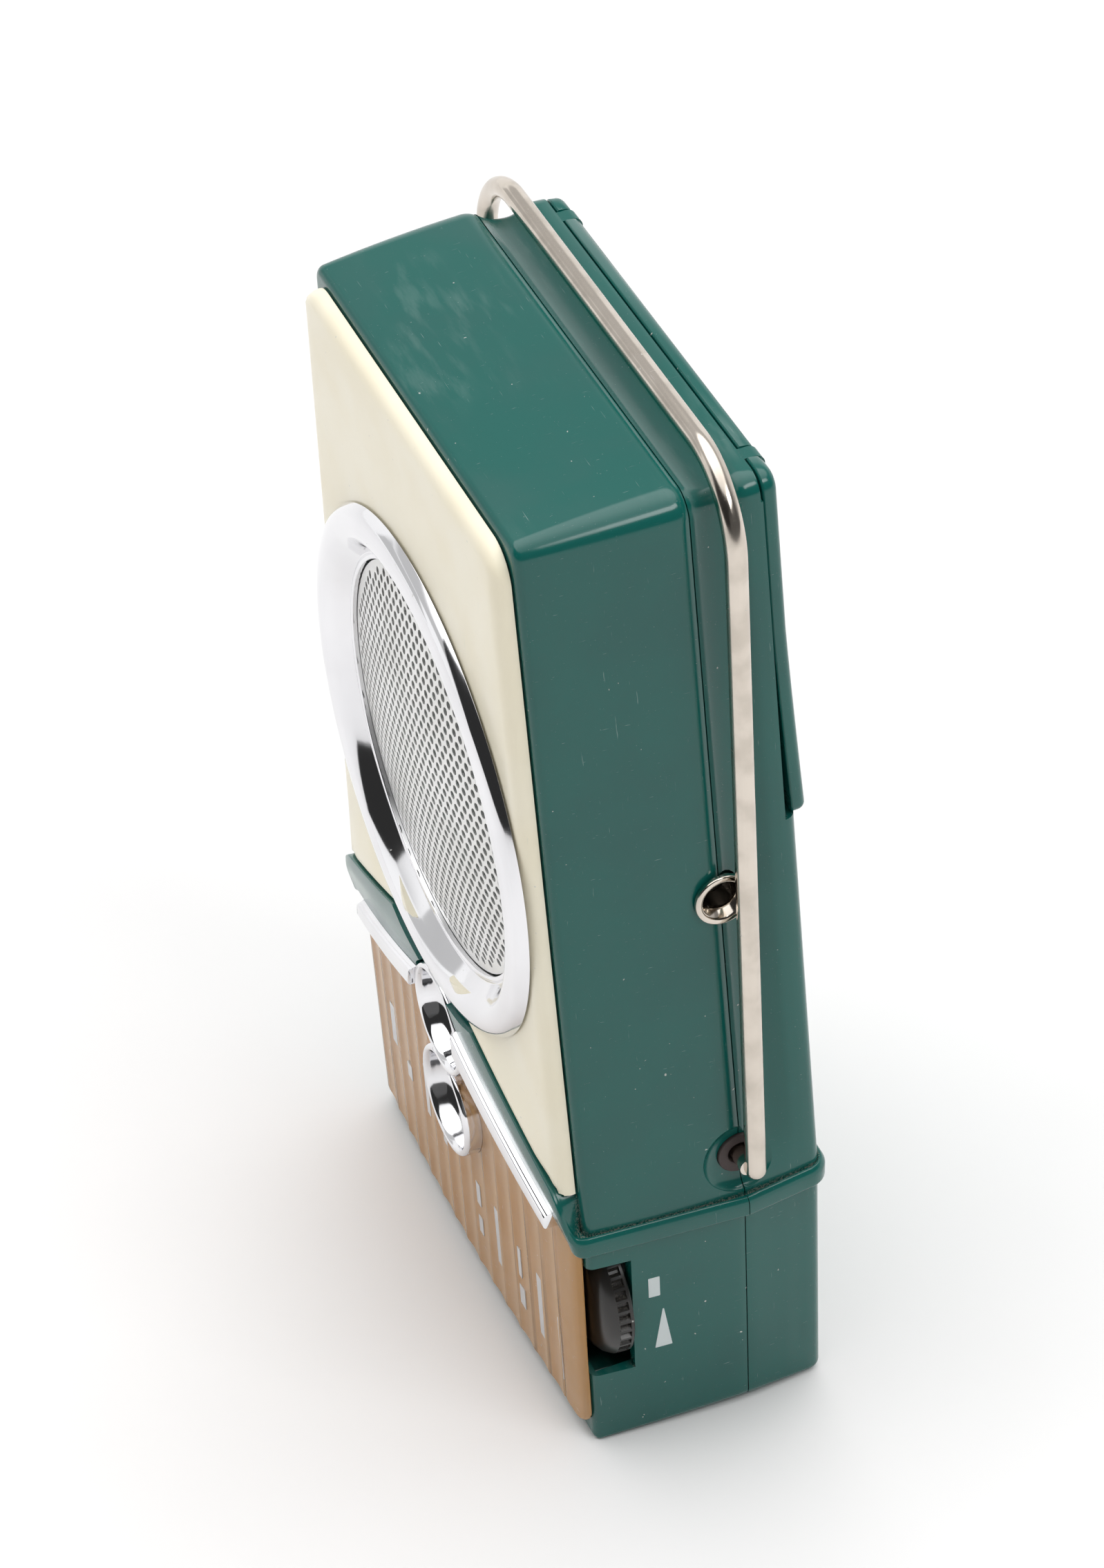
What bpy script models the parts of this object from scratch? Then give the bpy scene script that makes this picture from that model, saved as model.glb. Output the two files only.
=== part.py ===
"""Transistor pocket radio with a wire bail: two drafted case shells, a cream front panel with a chrome
speaker bezel, a fluted dial window under a V-shaped belt, and the works inside.

Metres, +Z up. The radio stands on its flat base at Z = 0, with the origin under its middle and its front
facing -Y. The measures in this file start from the datum, an empty that is every object's parent: it lies
in the plane of the case's front rim, FOOT_DROP above the base.
"""

import math

import bmesh
import bpy
from mathutils import Matrix, Vector

MM = 0.001

# Case: half-widths at the seam, the belt's height, and the planes of the seam and the back.
HEIGHT = 161 * MM
FOOT_DROP = 1.0 * MM
RIM_TO_MIDDLE = 16.0 * MM
HALF_TOP = 38.6 * MM
HALF_BELT = 45.8 * MM
HALF_BASE = 43.3 * MM
BELT_Z = 43.5 * MM
BELT_FOOT_Z = 40.0 * MM
BELT_PROUD = 1.5 * MM
SEAM_Y = 23.8 * MM
BACK_Y = 36.2 * MM
FRONT_DRAFT = 1.8 * MM
WALL = 2.0 * MM
FRONT_CROWN = 0.4 * MM
TOP_RADIUS = 4.2 * MM
BASE_RADIUS = 2.5 * MM
GAP = 0.3 * MM
COVE_DEPTH = 1.7 * MM

# Front: panel, speaker opening, bezel and the small rings of the trim.
PANEL_FRONT_Y = -2.7 * MM
PANEL_INSET = 3.1 * MM
SPEAKER_Z = 96.7 * MM
BEZEL_RADIUS = 39.1 * MM
GRILLE_RADIUS = 29.6 * MM
SPEAKER_HOLE = 30.5 * MM
PANEL_HOLE = 33.2 * MM
RING_RADIUS = 8.8 * MM
RING_CENTRES_Z = {"upper": 50.3 * MM, "lower": 34.2 * MM}

# The belt's front lip is a V that bulges forward at the middle and rolls back into the side bands.
# Each edge has a y and a z at LIP_HALF, a forward bulge, and a rise per unit towards the middle.
LIP_HALF = 44.0 * MM
LIP_END = 45.4 * MM
LIP_ROLL = 3.5 * MM
LIP_DROP_START = 40.0 * MM
LIP_EDGES = {
    "upper": {"y": -2.9 * MM, "bulge": 2.3 * MM, "z": 49.0 * MM, "slope": 0.405, "end_z": 43.5 * MM},
    "nose": {"y": -3.0 * MM, "bulge": 2.1 * MM, "z": 46.5 * MM, "slope": 0.375, "end_z": 43.2 * MM},
    "lower": {"y": -1.6 * MM, "bulge": 2.0 * MM, "z": 39.7 * MM, "slope": 0.375, "end_z": 40.2 * MM},
}
WING_EDGE = {"y": -2.8 * MM, "bulge": 3.1 * MM, "z": 38.3 * MM, "slope": 0.34}
WING_END = 37.5 * MM

# Lower front: the lens bulges forward by LENS_BULGE at the middle; the dial lies behind it.
LENS_HALF = 43.0 * MM
LENS_FOOT_HALF = 41.5 * MM
LENS_FOOT_Z = 2.0 * MM
LENS_CORNER = 3.5 * MM
LENS_THICK = 1.3 * MM
LENS_BULGE = 1.2 * MM
LENS_EDGE_Y = -1.2 * MM
DIAL_HOLE = (39.0 * MM, 5.5 * MM, 39.4 * MM)
RAIL_Y = 0.9 * MM
RAIL_Z = 7.2 * MM

# Thumbwheels: both turn about Y and look out of notches in the side walls.
WHEEL_FRONT_Y = 1.4 * MM
WHEEL_THICK = 4.6 * MM
VOLUME_RADIUS = 11.5 * MM
VOLUME_CENTRE = (34.2 * MM, 24.6 * MM)
TUNING_RADIUS = 13.1 * MM
TUNING_CENTRE = (-32.2 * MM, 24.6 * MM)
NOTCH_Z = (13.2 * MM, 36.0 * MM)
NOTCH_BACK_Y = 6.5 * MM

# Wire bail on the seam's pivots; it leans back as it rises to the crossbar.
BAIL_WIRE = 1.6 * MM
PIVOT_Y = SEAM_Y
PIVOT_Z = 50.2 * MM
BAIL_FOOT = Vector((48.2, 24.6, 48.2)) * MM
BAIL_TOP = Vector((42.9, 28.3, 164.2)) * MM
BAIL_CORNER = 12.0 * MM
DISH_RADIUS = 5.8 * MM

# Back cover, hinged along its top edge.
COVER_FOOT_Z = 105.0 * MM
COVER_SEAT_Y = 34.2 * MM
COVER_FRONT_Y = 34.5 * MM
COVER_BACK_Y = 36.8 * MM
COVER_KNEE_Z = 135.0 * MM
COVER_FLARE = 1.0 * MM
HINGE_Y = 35.65 * MM
HINGE_Z = 158.0 * MM
HINGE_EARS_X = 31.0 * MM
HINGE_RADIUS = 1.15 * MM
BAY = (30.0 * MM, 107.0 * MM, 148.0 * MM)

# Works.
BOARD_Y = 13.0 * MM
BOARD_THICK = 1.6 * MM
BOARD_TOP_Z = 60.0 * MM
BOARD_FOOT_Z = 2.4 * MM
BOARD_HALF = 38.0 * MM
BOARD_POSTS = ((-33 * MM, 55 * MM), (33 * MM, 55 * MM), (0, 4.9 * MM))
CASE_SCREWS = ((-33.5 * MM, 4.7 * MM), (33.5 * MM, 4.7 * MM))
JACK_Z = 96.3 * MM

X, Y, Z = Vector((1, 0, 0)), Vector((0, 1, 0)), Vector((0, 0, 1))

for old in list(bpy.data.objects):
    bpy.data.objects.remove(old)

parts = bpy.data.collections.new("transistor_pocket_radio")
cutters = bpy.data.collections.new("cutters")
bpy.context.scene.collection.children.link(parts)
bpy.context.scene.collection.children.link(cutters)
cutters.hide_render = True

datum = bpy.data.objects.new("datum", None)
datum.location = (0, -RIM_TO_MIDDLE, FOOT_DROP)
parts.objects.link(datum)


def material(name, colour, roughness, metallic=0.0):
    made = bpy.data.materials.new(name)
    made.use_nodes = True
    shader = made.node_tree.nodes["Principled BSDF"]
    shader.inputs["Base Color"].default_value = (*colour, 1)
    shader.inputs["Roughness"].default_value = roughness
    shader.inputs["Metallic"].default_value = metallic
    made.diffuse_color = (*colour, 1)
    return made


GREEN = material("green_plastic", (0.02, 0.13, 0.11), 0.25)
CREAM = material("cream_plastic", (0.85, 0.80, 0.62), 0.35)
CHROME = material("chrome", (0.85, 0.85, 0.87), 0.08, 1)
NICKEL = material("nickel_wire", (0.72, 0.68, 0.60), 0.22, 1)
MESH_METAL = material("silver_grille", (0.70, 0.70, 0.70), 0.35, 1)
LENS = material("brown_lens", (0.42, 0.22, 0.07), 0.15)
DIAL = material("gold_dial", (0.50, 0.32, 0.14), 0.4)
BLACK = material("black_plastic", (0.02, 0.02, 0.02), 0.35)
WHITE = material("white_plastic", (0.85, 0.85, 0.82), 0.4)
BRASS = material("brass", (0.70, 0.50, 0.22), 0.3, 1)
STEEL = material("steel", (0.55, 0.55, 0.56), 0.3, 1)
ALUMINIUM = material("aluminium_can", (0.75, 0.76, 0.77), 0.3, 1)
FIBRE = material("fibre_washer", (0.10, 0.07, 0.06), 0.7)
PAPER = material("cone_paper", (0.08, 0.08, 0.08), 0.9)
BOARD = material("board_phenolic", (0.35, 0.20, 0.07), 0.5)
FERRITE = material("ferrite", (0.07, 0.07, 0.08), 0.5)
COIL = material("coil_wire", (0.45, 0.18, 0.07), 0.45)
SLEEVE = material("battery_sleeve", (0.55, 0.08, 0.06), 0.4)


def add(name, mesh, finish, collection=parts):
    made = bpy.data.objects.new(name, mesh)
    mesh.materials.append(finish)
    collection.objects.link(made)
    made.parent = datum
    if collection is cutters:
        made.hide_render = True
        made.display_type = "WIRE"
    return made


def from_bmesh(name, bm, finish, collection=parts, smooth_angle=None):
    bmesh.ops.recalc_face_normals(bm, faces=bm.faces)
    mesh = bpy.data.meshes.new(name)
    bm.to_mesh(mesh)
    bm.free()
    if smooth_angle is not None:
        mesh.shade_smooth()
        mesh.set_sharp_from_angle(angle=math.radians(smooth_angle))
    return add(name, mesh, finish, collection)


def block(name, low, high, finish, collection=parts, bevel=0):
    """A box between two corners in millimetres, its edges rounded by bevel."""
    low, high = Vector(low) * MM, Vector(high) * MM
    bm = bmesh.new()
    bmesh.ops.create_cube(bm, size=1)
    bmesh.ops.scale(bm, vec=high - low, verts=bm.verts)
    made = from_bmesh(name, bm, finish, collection)
    made.location = (low + high) / 2
    if bevel:
        rounding = made.modifiers.new("rounding", "BEVEL")
        rounding.width = bevel * MM
        rounding.segments = 2
    return made


def cylinder(name, centre, radius, length, axis, finish, collection=parts, sides=24, far_radius=None):
    """A cylinder, or a cone, about an axis through its centre. Sizes are in metres."""
    bm = bmesh.new()
    bmesh.ops.create_cone(
        bm,
        cap_ends=True,
        segments=sides,
        radius1=radius,
        radius2=radius if far_radius is None else far_radius,
        depth=length,
    )
    made = from_bmesh(name, bm, finish, collection, smooth_angle=35)
    made.rotation_euler = Z.rotation_difference(axis).to_euler()
    made.location = centre
    return made


def turned(name, profile, centre, axis, finish, collection=parts, steps=32):
    """A closed profile of (radius, height) points in millimetres, turned about the axis."""
    pairs = list(zip(profile, profile[1:] + profile[:1]))
    if sum(r0 * h1 - r1 * h0 for (r0, h0), (r1, h1) in pairs) > 0:
        pairs = [(end, start) for start, end in reversed(pairs)]
    bm = bmesh.new()
    points = {place: bm.verts.new((place[0] * MM, 0, place[1] * MM)) for place, _ in pairs}
    for start, end in pairs:
        if start[0] or end[0]:
            bm.edges.new((points[start], points[end]))
    mesh = bpy.data.meshes.new(name)
    bm.to_mesh(mesh)
    bm.free()
    made = add(name, mesh, finish, collection)
    made.rotation_euler = Z.rotation_difference(axis).to_euler()
    made.location = centre
    turning = made.modifiers.new("turning", "SCREW")
    turning.steps = steps
    turning.render_steps = steps
    turning.use_merge_vertices = True
    turning.merge_threshold = 0.00001
    return made


def loft(name, rings, finish, collection=parts, smooth_angle=None):
    """Rings of equal count joined into one closed body with flat ends."""
    bm = bmesh.new()
    rows = [[bm.verts.new(point) for point in ring] for ring in rings]
    for near, far in zip(rows, rows[1:]):
        for i in range(len(near)):
            j = (i + 1) % len(near)
            bm.faces.new((near[i], near[j], far[j], far[i]))
    bm.faces.new(list(reversed(rows[0])))
    bm.faces.new(rows[-1])
    return from_bmesh(name, bm, finish, collection, smooth_angle)


def boolean(target, other, operation):
    step = target.modifiers.new(f"{operation.lower()} {other.name}", "BOOLEAN")
    step.object = other
    step.operation = operation


def cut(target, *others):
    for other in others:
        boolean(target, other, "DIFFERENCE")


def join(target, *others):
    for other in others:
        boolean(target, other, "UNION")


# ---------------------------------------------------------------- case outline


def half_width(z):
    """Half the case's width at the seam, at height z: widest at the belt."""
    if z < BELT_Z:
        return HALF_BASE + (HALF_BELT - HALF_BASE) * z / BELT_Z
    return HALF_BELT + (HALF_TOP - HALF_BELT) * (z - BELT_Z) / (HEIGHT - BELT_Z)


def arc(centre, radius, start, end, count):
    """Points (x, z) on an arc, angles in degrees."""
    angles = [math.radians(start + (end - start) * i / count) for i in range(count + 1)]
    return [(centre[0] + radius * math.cos(a), centre[1] + radius * math.sin(a)) for a in angles]


def outline(inset, lift=0.0, foot=-FOOT_DROP, foot_radius=BASE_RADIUS, top_radius=TOP_RADIUS, steps=5):
    """The case in (x, z), anticlockwise from its foot: inset draws in its sides and top, lift its foot."""
    low, high = foot + lift, HEIGHT - inset
    lean = math.degrees(math.atan2(HALF_BELT - HALF_TOP, HEIGHT - BELT_Z))
    base = max(foot_radius - inset, 0.5 * MM)
    crown = max(top_radius - inset, 1.0 * MM)
    right = arc((half_width(low + base) - inset - base, low + base), base, -90, 0, steps - 1)
    if foot < BELT_Z:
        right.append((half_width(BELT_Z) - inset, BELT_Z))
    centre_x = half_width(high - crown) - inset - crown / math.cos(math.radians(lean))
    right += arc((centre_x, high - crown), crown, lean, 90, steps)
    return right + [(-x, z) for x, z in reversed(right)]


def ring_at(y, inset, lift=0.0, **limits):
    return [Vector((x, y, z)) for x, z in outline(inset, lift, **limits)]


def coved_ring(y, inset, lift, cove):
    """A ring whose sides and top above the belt are drawn in by cove as well."""
    plain, drawn = outline(inset, lift), outline(inset + cove, lift)
    return [Vector((*(b if a[1] > BELT_Z else a), y)).xzy for a, b in zip(plain, drawn)]


# ---------------------------------------------------------------- belt and lip


def edge_at(edge, x):
    """The (y, z) of one of the lip's or the wings' edges at x, before the lip's roll at its ends."""
    bulge = 1 - (x / (46 * MM)) ** 2
    return edge["y"] - edge["bulge"] * bulge, edge["z"] + edge["slope"] * (LIP_HALF - abs(x))


def lip_edge(name, x):
    """The (y, z) of one of the lip's edges at x: near its end it rolls back and falls to the side band."""
    y, z = edge_at(LIP_EDGES[name], x)
    over = min(max(abs(x) - (LIP_END - LIP_ROLL), 0) / LIP_ROLL, 1)
    fall = (max(abs(x) - LIP_DROP_START, 0) / (LIP_END - LIP_DROP_START)) ** 2
    return y + LIP_ROLL * (1 - math.sqrt(1 - over**2)), z + fall * (LIP_EDGES[name]["end_z"] - z)


def front_lip():
    half = [0, 8, 16, 24, 32, 38, 41, 43, 44.4, 45.1, 45.4]
    back_y = 2.6 * MM
    rings = []
    for x in [-x * MM for x in reversed(half[1:])] + [x * MM for x in half]:
        upper, nose, lower = (lip_edge(name, x) for name in ("upper", "nose", "lower"))
        section = ((back_y, upper[1]), upper, nose, lower, (back_y, lower[1]))
        rings.append([Vector((x, y, z)) for y, z in section])
    return loft("lip_form", rings, GREEN, cutters)


def belt_form(name, plan, back_proud=0.0):
    """A band round the case from one side to the other: plan is its right half as (x, y) at the wall."""
    rings = []
    for z, proud in (
        (BELT_FOOT_Z, 0.3 * MM),
        (BELT_FOOT_Z + 0.6 * MM, BELT_PROUD),
        (BELT_Z - 0.5 * MM, BELT_PROUD),
        (BELT_Z, 0.9 * MM),
    ):
        middle = plan[-1][1]
        points = [(x + proud, y + (back_proud * proud if y == middle else 0)) for x, y in plan]
        points += [(-x, y) for x, y in reversed(points)]
        rings.append([Vector((x, y, z)) for x, y in points])
    return loft(name, rings, GREEN, cutters)


# ---------------------------------------------------------------- case shells


def front_case():
    shell = loft(
        "front_case",
        [
            ring_at(0, FRONT_DRAFT + 0.9 * MM, 1.0 * MM),
            ring_at(0.3 * MM, FRONT_DRAFT + 0.2 * MM, 0.3 * MM),
            ring_at(1.2 * MM, FRONT_DRAFT - 0.3 * MM),
            ring_at(SEAM_Y / 2, FRONT_DRAFT / 2 - FRONT_CROWN),
            ring_at(SEAM_Y - GAP / 2, 0),
        ],
        GREEN,
        smooth_angle=30,
    )
    half = half_width(BELT_Z)
    band = belt_form("front_belt_form", [(half - FRONT_DRAFT, 1.6 * MM), (half, SEAM_Y - GAP / 2)])
    lip = front_lip()
    bezel_room = cylinder(
        "bezel_room",
        (0, PANEL_FRONT_Y - 6 * MM, SPEAKER_Z),
        BEZEL_RADIUS + GAP,
        12 * MM,
        Y,
        GREEN,
        cutters,
        48,
    )
    ring_room = cylinder(
        "ring_room",
        (0, -6.2 * MM, RING_CENTRES_Z["upper"]),
        RING_RADIUS + GAP,
        12 * MM,
        Y,
        GREEN,
        cutters,
        32,
    )
    seat_room = cylinder("seat_room", (0, -6 * MM, SPEAKER_Z), PANEL_HOLE, 12 * MM, Y, GREEN, cutters, 48)
    cut(lip, bezel_room, ring_room, seat_room)
    join(shell, lip, band)
    cavity = loft(
        "front_cavity",
        [ring_at(2.2 * MM, FRONT_DRAFT + WALL, WALL), ring_at(SEAM_Y + 2 * MM, WALL, WALL)],
        GREEN,
        cutters,
    )
    sound = cylinder("sound_hole", (0, 0, SPEAKER_Z), SPEAKER_HOLE, 10 * MM, Y, GREEN, cutters, 40)
    hole_half, hole_foot, hole_top = (value / MM for value in DIAL_HOLE)
    dial = block("dial_hole", (-hole_half, -1, hole_foot), (hole_half, 4, hole_top), GREEN, cutters)
    cut(shell, cavity, sound, dial)
    for side, name in ((1, "volume"), (-1, "tuning")):
        low, high = (z / MM for z in NOTCH_Z)
        ends = sorted((side * 30, side * 50))
        notch = block(f"{name}_notch", (ends[0], -3, low), (ends[1], NOTCH_BACK_Y / MM, high), GREEN, cutters)
        cut(shell, notch)
    for i, (x, z) in enumerate(BOARD_POSTS):
        post_and_bore(shell, f"board_post_{i}", x, z, (2.1 * MM, BOARD_Y - GAP), 3.0 * MM)
    for i, (x, z) in enumerate(CASE_SCREWS):
        post_and_bore(shell, f"case_post_{i}", x, z, (NOTCH_BACK_Y, SEAM_Y - GAP), 4.0 * MM)
    cut(shell, *pivot_cutters("front"), jack_cutter("front"))
    return shell


def post_and_bore(shell, name, x, z, ends, radius):
    """A post along Y from ends[0] to ends[1], bored from its rear end for a screw."""
    near, far = ends
    bore_start = far - 6 * MM
    bore_end = far + 1 * MM
    post = cylinder(name, (x, (near + far) / 2, z), radius, far - near, Y, GREEN, cutters, 16)
    middle = (x, (bore_start + bore_end) / 2, z)
    bore = cylinder(f"{name}_bore", middle, 1.35 * MM, bore_end - bore_start, Y, GREEN, cutters, 12)
    join(shell, post)
    cut(shell, bore)


def rear_case():
    y0 = SEAM_Y + GAP / 2
    shell = loft(
        "rear_case",
        [
            coved_ring(y0, 0, 0, 0),
            coved_ring(y0 + 1.2 * MM, 0.1 * MM, 0, 0.9 * MM),
            coved_ring(y0 + 3.0 * MM, 0.3 * MM, 0, COVE_DEPTH),
            coved_ring(y0 + 5.2 * MM, 0.5 * MM, 0, COVE_DEPTH),
            coved_ring(y0 + 7.2 * MM, 0.7 * MM, 0, 0.6 * MM),
            coved_ring(BACK_Y - 1.8 * MM, 1.1 * MM, 0, 0.1 * MM),
            coved_ring(BACK_Y - 0.6 * MM, 1.6 * MM, 0.6 * MM, 0),
            coved_ring(BACK_Y, 2.6 * MM, 2.0 * MM, 0),
        ],
        GREEN,
        smooth_angle=30,
    )
    half = half_width(BELT_Z)
    plan = [
        (half, y0),
        (half - 1.3 * MM, BACK_Y - 2.6 * MM),
        (half - 1.9 * MM, BACK_Y - 1.0 * MM),
        (half - 3.2 * MM, BACK_Y),
    ]
    join(shell, belt_form("rear_belt_form", plan, back_proud=0.8))
    cavity = loft(
        "rear_cavity",
        [ring_at(y0 - 2 * MM, WALL + COVE_DEPTH, WALL), ring_at(BACK_Y - 2.0 * MM, WALL + 2.2 * MM, WALL)],
        GREEN,
        cutters,
    )
    cut(shell, cavity)
    seat_foot = (COVER_FOOT_Z - GAP) / MM
    seat = block("cover_seat", (-60, COVER_SEAT_Y / MM, seat_foot), (60, 50, 170), GREEN, cutters)
    half, low, high = (value / MM for value in BAY)
    frame = block("bay_frame", (-34, 32.0, 103), (34, COVER_SEAT_Y / MM, 151), GREEN, cutters)
    bay = block("bay_hole", (-half, 28, low), (half, 50, high), GREEN, cutters)
    groove_foot = HINGE_Z / MM - 2
    groove = block("hinge_groove", (-60, COVER_SEAT_Y / MM - 0.5, groove_foot), (60, 50, 170), GREEN, cutters)
    cut(shell, seat, groove)
    join(shell, frame)
    cut(shell, bay)
    for side in (-1, 1):
        ear_x = side * HINGE_EARS_X
        low = ((ear_x - 1.2 * MM) / MM, 32.9, (HINGE_Z - HINGE_RADIUS) / MM)
        high = ((ear_x + 1.2 * MM) / MM, HINGE_Y / MM, (HINGE_Z + HINGE_RADIUS) / MM)
        eye = cylinder(
            f"hinge_eye_{side}", (ear_x, HINGE_Y, HINGE_Z), HINGE_RADIUS, 2.4 * MM, X, GREEN, cutters, 16
        )
        join(shell, block(f"hinge_ear_{side}", low, high, GREEN, cutters), eye)
    pin_bore = cylinder("pin_bore", (0, HINGE_Y, HINGE_Z), 0.75 * MM, 60 * MM, X, GREEN, cutters, 16)
    cut(shell, pin_bore, *pivot_cutters("rear"), jack_cutter("rear"))
    for i, (x, z) in enumerate(CASE_SCREWS):
        near, far = SEAM_Y + GAP, BACK_Y - 1.4 * MM
        middle = (x, (near + far) / 2, z)
        boss = cylinder(f"screw_boss_{i}", middle, 4.0 * MM, far - near, Y, GREEN, cutters, 20)
        well = cylinder(f"screw_well_{i}", (x, BACK_Y, z), 3.2 * MM, 3.0 * MM, Y, GREEN, cutters, 20)
        bore = cylinder(f"screw_bore_{i}", middle, 1.4 * MM, 14 * MM, Y, GREEN, cutters, 12)
        join(shell, boss)
        cut(shell, well, bore)
    return shell


def pivot_cutters(shell):
    """On each side: a shallow dish, and the bore that holds the bail's bush."""
    made = []
    for side in (-1, 1):
        wall = half_width(PIVOT_Z)
        dish = cylinder(
            f"dish_{shell}_{side}",
            (side * (wall + 1.0 * MM), PIVOT_Y, PIVOT_Z),
            DISH_RADIUS - 1.2 * MM,
            4.0 * MM,
            X * side,
            GREEN,
            cutters,
            32,
            DISH_RADIUS + 1.0 * MM,
        )
        bore = cylinder(
            f"bush_bore_{shell}_{side}",
            (side * wall, PIVOT_Y, PIVOT_Z),
            3.4 * MM,
            12 * MM,
            X,
            GREEN,
            cutters,
            24,
        )
        made += [dish, bore]
    return made


def jack_cutter(shell):
    centre = (half_width(JACK_Z), SEAM_Y, JACK_Z)
    return cylinder(f"jack_bore_{shell}", centre, 3.3 * MM, 12 * MM, X, GREEN, cutters, 24)


def back_cover():
    """The battery door: flat above the knee, and sprung a little away from the case below it."""
    limits = {"foot": COVER_FOOT_Z, "foot_radius": 2.0 * MM}
    cover = loft(
        "battery_cover",
        [
            ring_at(COVER_FRONT_Y, 1.3 * MM, 0, **limits),
            ring_at(COVER_BACK_Y - 1.0 * MM, 1.4 * MM, 0, **limits),
            ring_at(COVER_BACK_Y - 0.3 * MM, 1.9 * MM, 0.5 * MM, **limits),
            ring_at(COVER_BACK_Y, 2.8 * MM, 1.4 * MM, **limits),
        ],
        GREEN,
    )
    bm = bmesh.new()
    bm.from_mesh(cover.data)
    every = bm.verts[:] + bm.edges[:] + bm.faces[:]
    bmesh.ops.bisect_plane(bm, geom=every, plane_co=(0, 0, COVER_KNEE_Z), plane_no=(0, 0, 1))
    for vert in bm.verts:
        vert.co.y += COVER_FLARE * max(COVER_KNEE_Z - vert.co.z, 0) / (COVER_KNEE_Z - COVER_FOOT_Z)
    bm.to_mesh(cover.data)
    bm.free()
    cover.data.shade_smooth()
    cover.data.set_sharp_from_angle(angle=math.radians(30))
    bay_foot = BAY[1] / MM
    tongue = block("cover_tongue", (-8, 32.4, bay_foot + 0.5), (8, 36.4, bay_foot + 2.0), GREEN, cutters)
    join(cover, tongue)
    for side in (-1, 1):
        ear_x, room = side * HINGE_EARS_X / MM, 1.6
        low = (ear_x - room, 30, HINGE_Z / MM - room)
        cut(cover, block(f"ear_slot_{side}", low, (ear_x + room, 40, HINGE_Z / MM + 6), GREEN, cutters))
    bore = cylinder("cover_pin_bore", (0, HINGE_Y, HINGE_Z), 0.75 * MM, 90 * MM, X, GREEN, cutters, 16)
    # The edge beyond the pin is short, so it turns clear of the case.
    relief = block("cover_relief", (-60, 30, (HINGE_Z + 1.15 * MM) / MM), (60, 45, 170), GREEN, cutters)
    cut(cover, bore, relief)
    cylinder("cover_hinge_pin", (0, HINGE_Y, HINGE_Z), 0.5 * MM, 56 * MM, X, STEEL, sides=12)
    return cover


# ---------------------------------------------------------------- front trim


def lip_top(x):
    return lip_edge("upper", x)[1]


def lip_foot(x):
    return lip_edge("lower", x)[1]


def front_panel():
    """A flat plate with a V-shaped foot over the belt, holed for the speaker bezel."""
    outer = [(x, z) for x, z in outline(PANEL_INSET, top_radius=5.5 * MM) if z > HEIGHT / 2]
    foot_x = half_width(50 * MM) - PANEL_INSET
    right = [(x, lip_top(x) + GAP) for x in (0, foot_x - 12 * MM, foot_x - 3 * MM, foot_x - 1 * MM)]
    right.append((foot_x, lip_top(foot_x) + 1.2 * MM))
    right += [point for point in outer if point[0] > 0]
    shape = right + [(-x, z) for x, z in reversed(right[1:])]
    middle = Vector((0, SPEAKER_Z))
    rings = []
    for y, inset in (
        (-GAP, 0),
        (PANEL_FRONT_Y + 1.1 * MM, 0),
        (PANEL_FRONT_Y + 0.3 * MM, 0.4 * MM),
        (PANEL_FRONT_Y, 1.3 * MM),
    ):
        ring = []
        for x, z in shape:
            inward = (middle - Vector((x, z))).normalized()
            ring.append(Vector((x + inward.x * inset, y, z + inward.y * inset)))
        rings.append(ring)
    panel = loft("front_panel", rings, CREAM, smooth_angle=30)
    cut(panel, cylinder("panel_hole", (0, 0, SPEAKER_Z), PANEL_HOLE, 12 * MM, Y, CREAM, cutters, 48))
    return panel


def speaker_bezel():
    """A rounded annulus over the panel, with a funnel to the grille and a seat behind it."""
    seat = -PANEL_FRONT_Y / MM + GAP / MM
    rim = BEZEL_RADIUS / MM
    profile = [
        (rim, seat),
        (rim - 1.1, seat + 1.5),
        (rim - 2.3, seat + 2.1),
        (rim - 4.0, seat + 2.1),
        (rim - 5.4, seat + 1.3),
        (rim - 7.8, 1.6),
        (rim - 8.6, 1.6),
        (rim - 8.6, 0.4),
        (PANEL_HOLE / MM - 0.5, 0.4),
        (PANEL_HOLE / MM - 0.5, seat),
    ]
    bezel = turned("speaker_bezel", profile, (0, 0, SPEAKER_Z), -Y, CHROME, steps=48)
    notch = cylinder(
        "bezel_notch", (0, 0, RING_CENTRES_Z["upper"]), RING_RADIUS + GAP, 20 * MM, Y, CHROME, cutters, 32
    )
    cut(bezel, notch)
    return bezel


def speaker_grille():
    """A domed sheet, bulging forward inside the bezel."""
    rise, edge, thick = 2.4, 0.7, 0.5
    rim = GRILLE_RADIUS / MM
    front = [(r, edge + thick + rise * (1 - (r / rim) ** 2)) for r in (0, 6, 12, 18, 24, rim)]
    back = [(r, y - thick) for r, y in reversed(front)]
    return turned("speaker_grille", front + back, (0, 0, SPEAKER_Z), -Y, MESH_METAL, steps=36)


def trim_wing(side, name):
    """One arm of the trim: a sloping bar along the lip's foot, on the face of the lens."""
    rings = []
    start = RING_RADIUS + 2 * GAP
    for i in range(5):
        x = start + (WING_END - start) * i / 4
        upper_y, upper_z = lip_edge("lower", x)
        lower_y, lower_z = edge_at(WING_EDGE, x)
        upper_z -= GAP
        back_y = lens_y(x) - GAP
        section = (
            (back_y, upper_z),
            (upper_y, upper_z),
            (lower_y, lower_z + 0.4 * MM),
            (lower_y + 0.3 * MM, lower_z),
            (back_y, lower_z),
        )
        rings.append([Vector((side * x, y, z)) for y, z in section])
    return loft(name, rings, CHROME)


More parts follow.
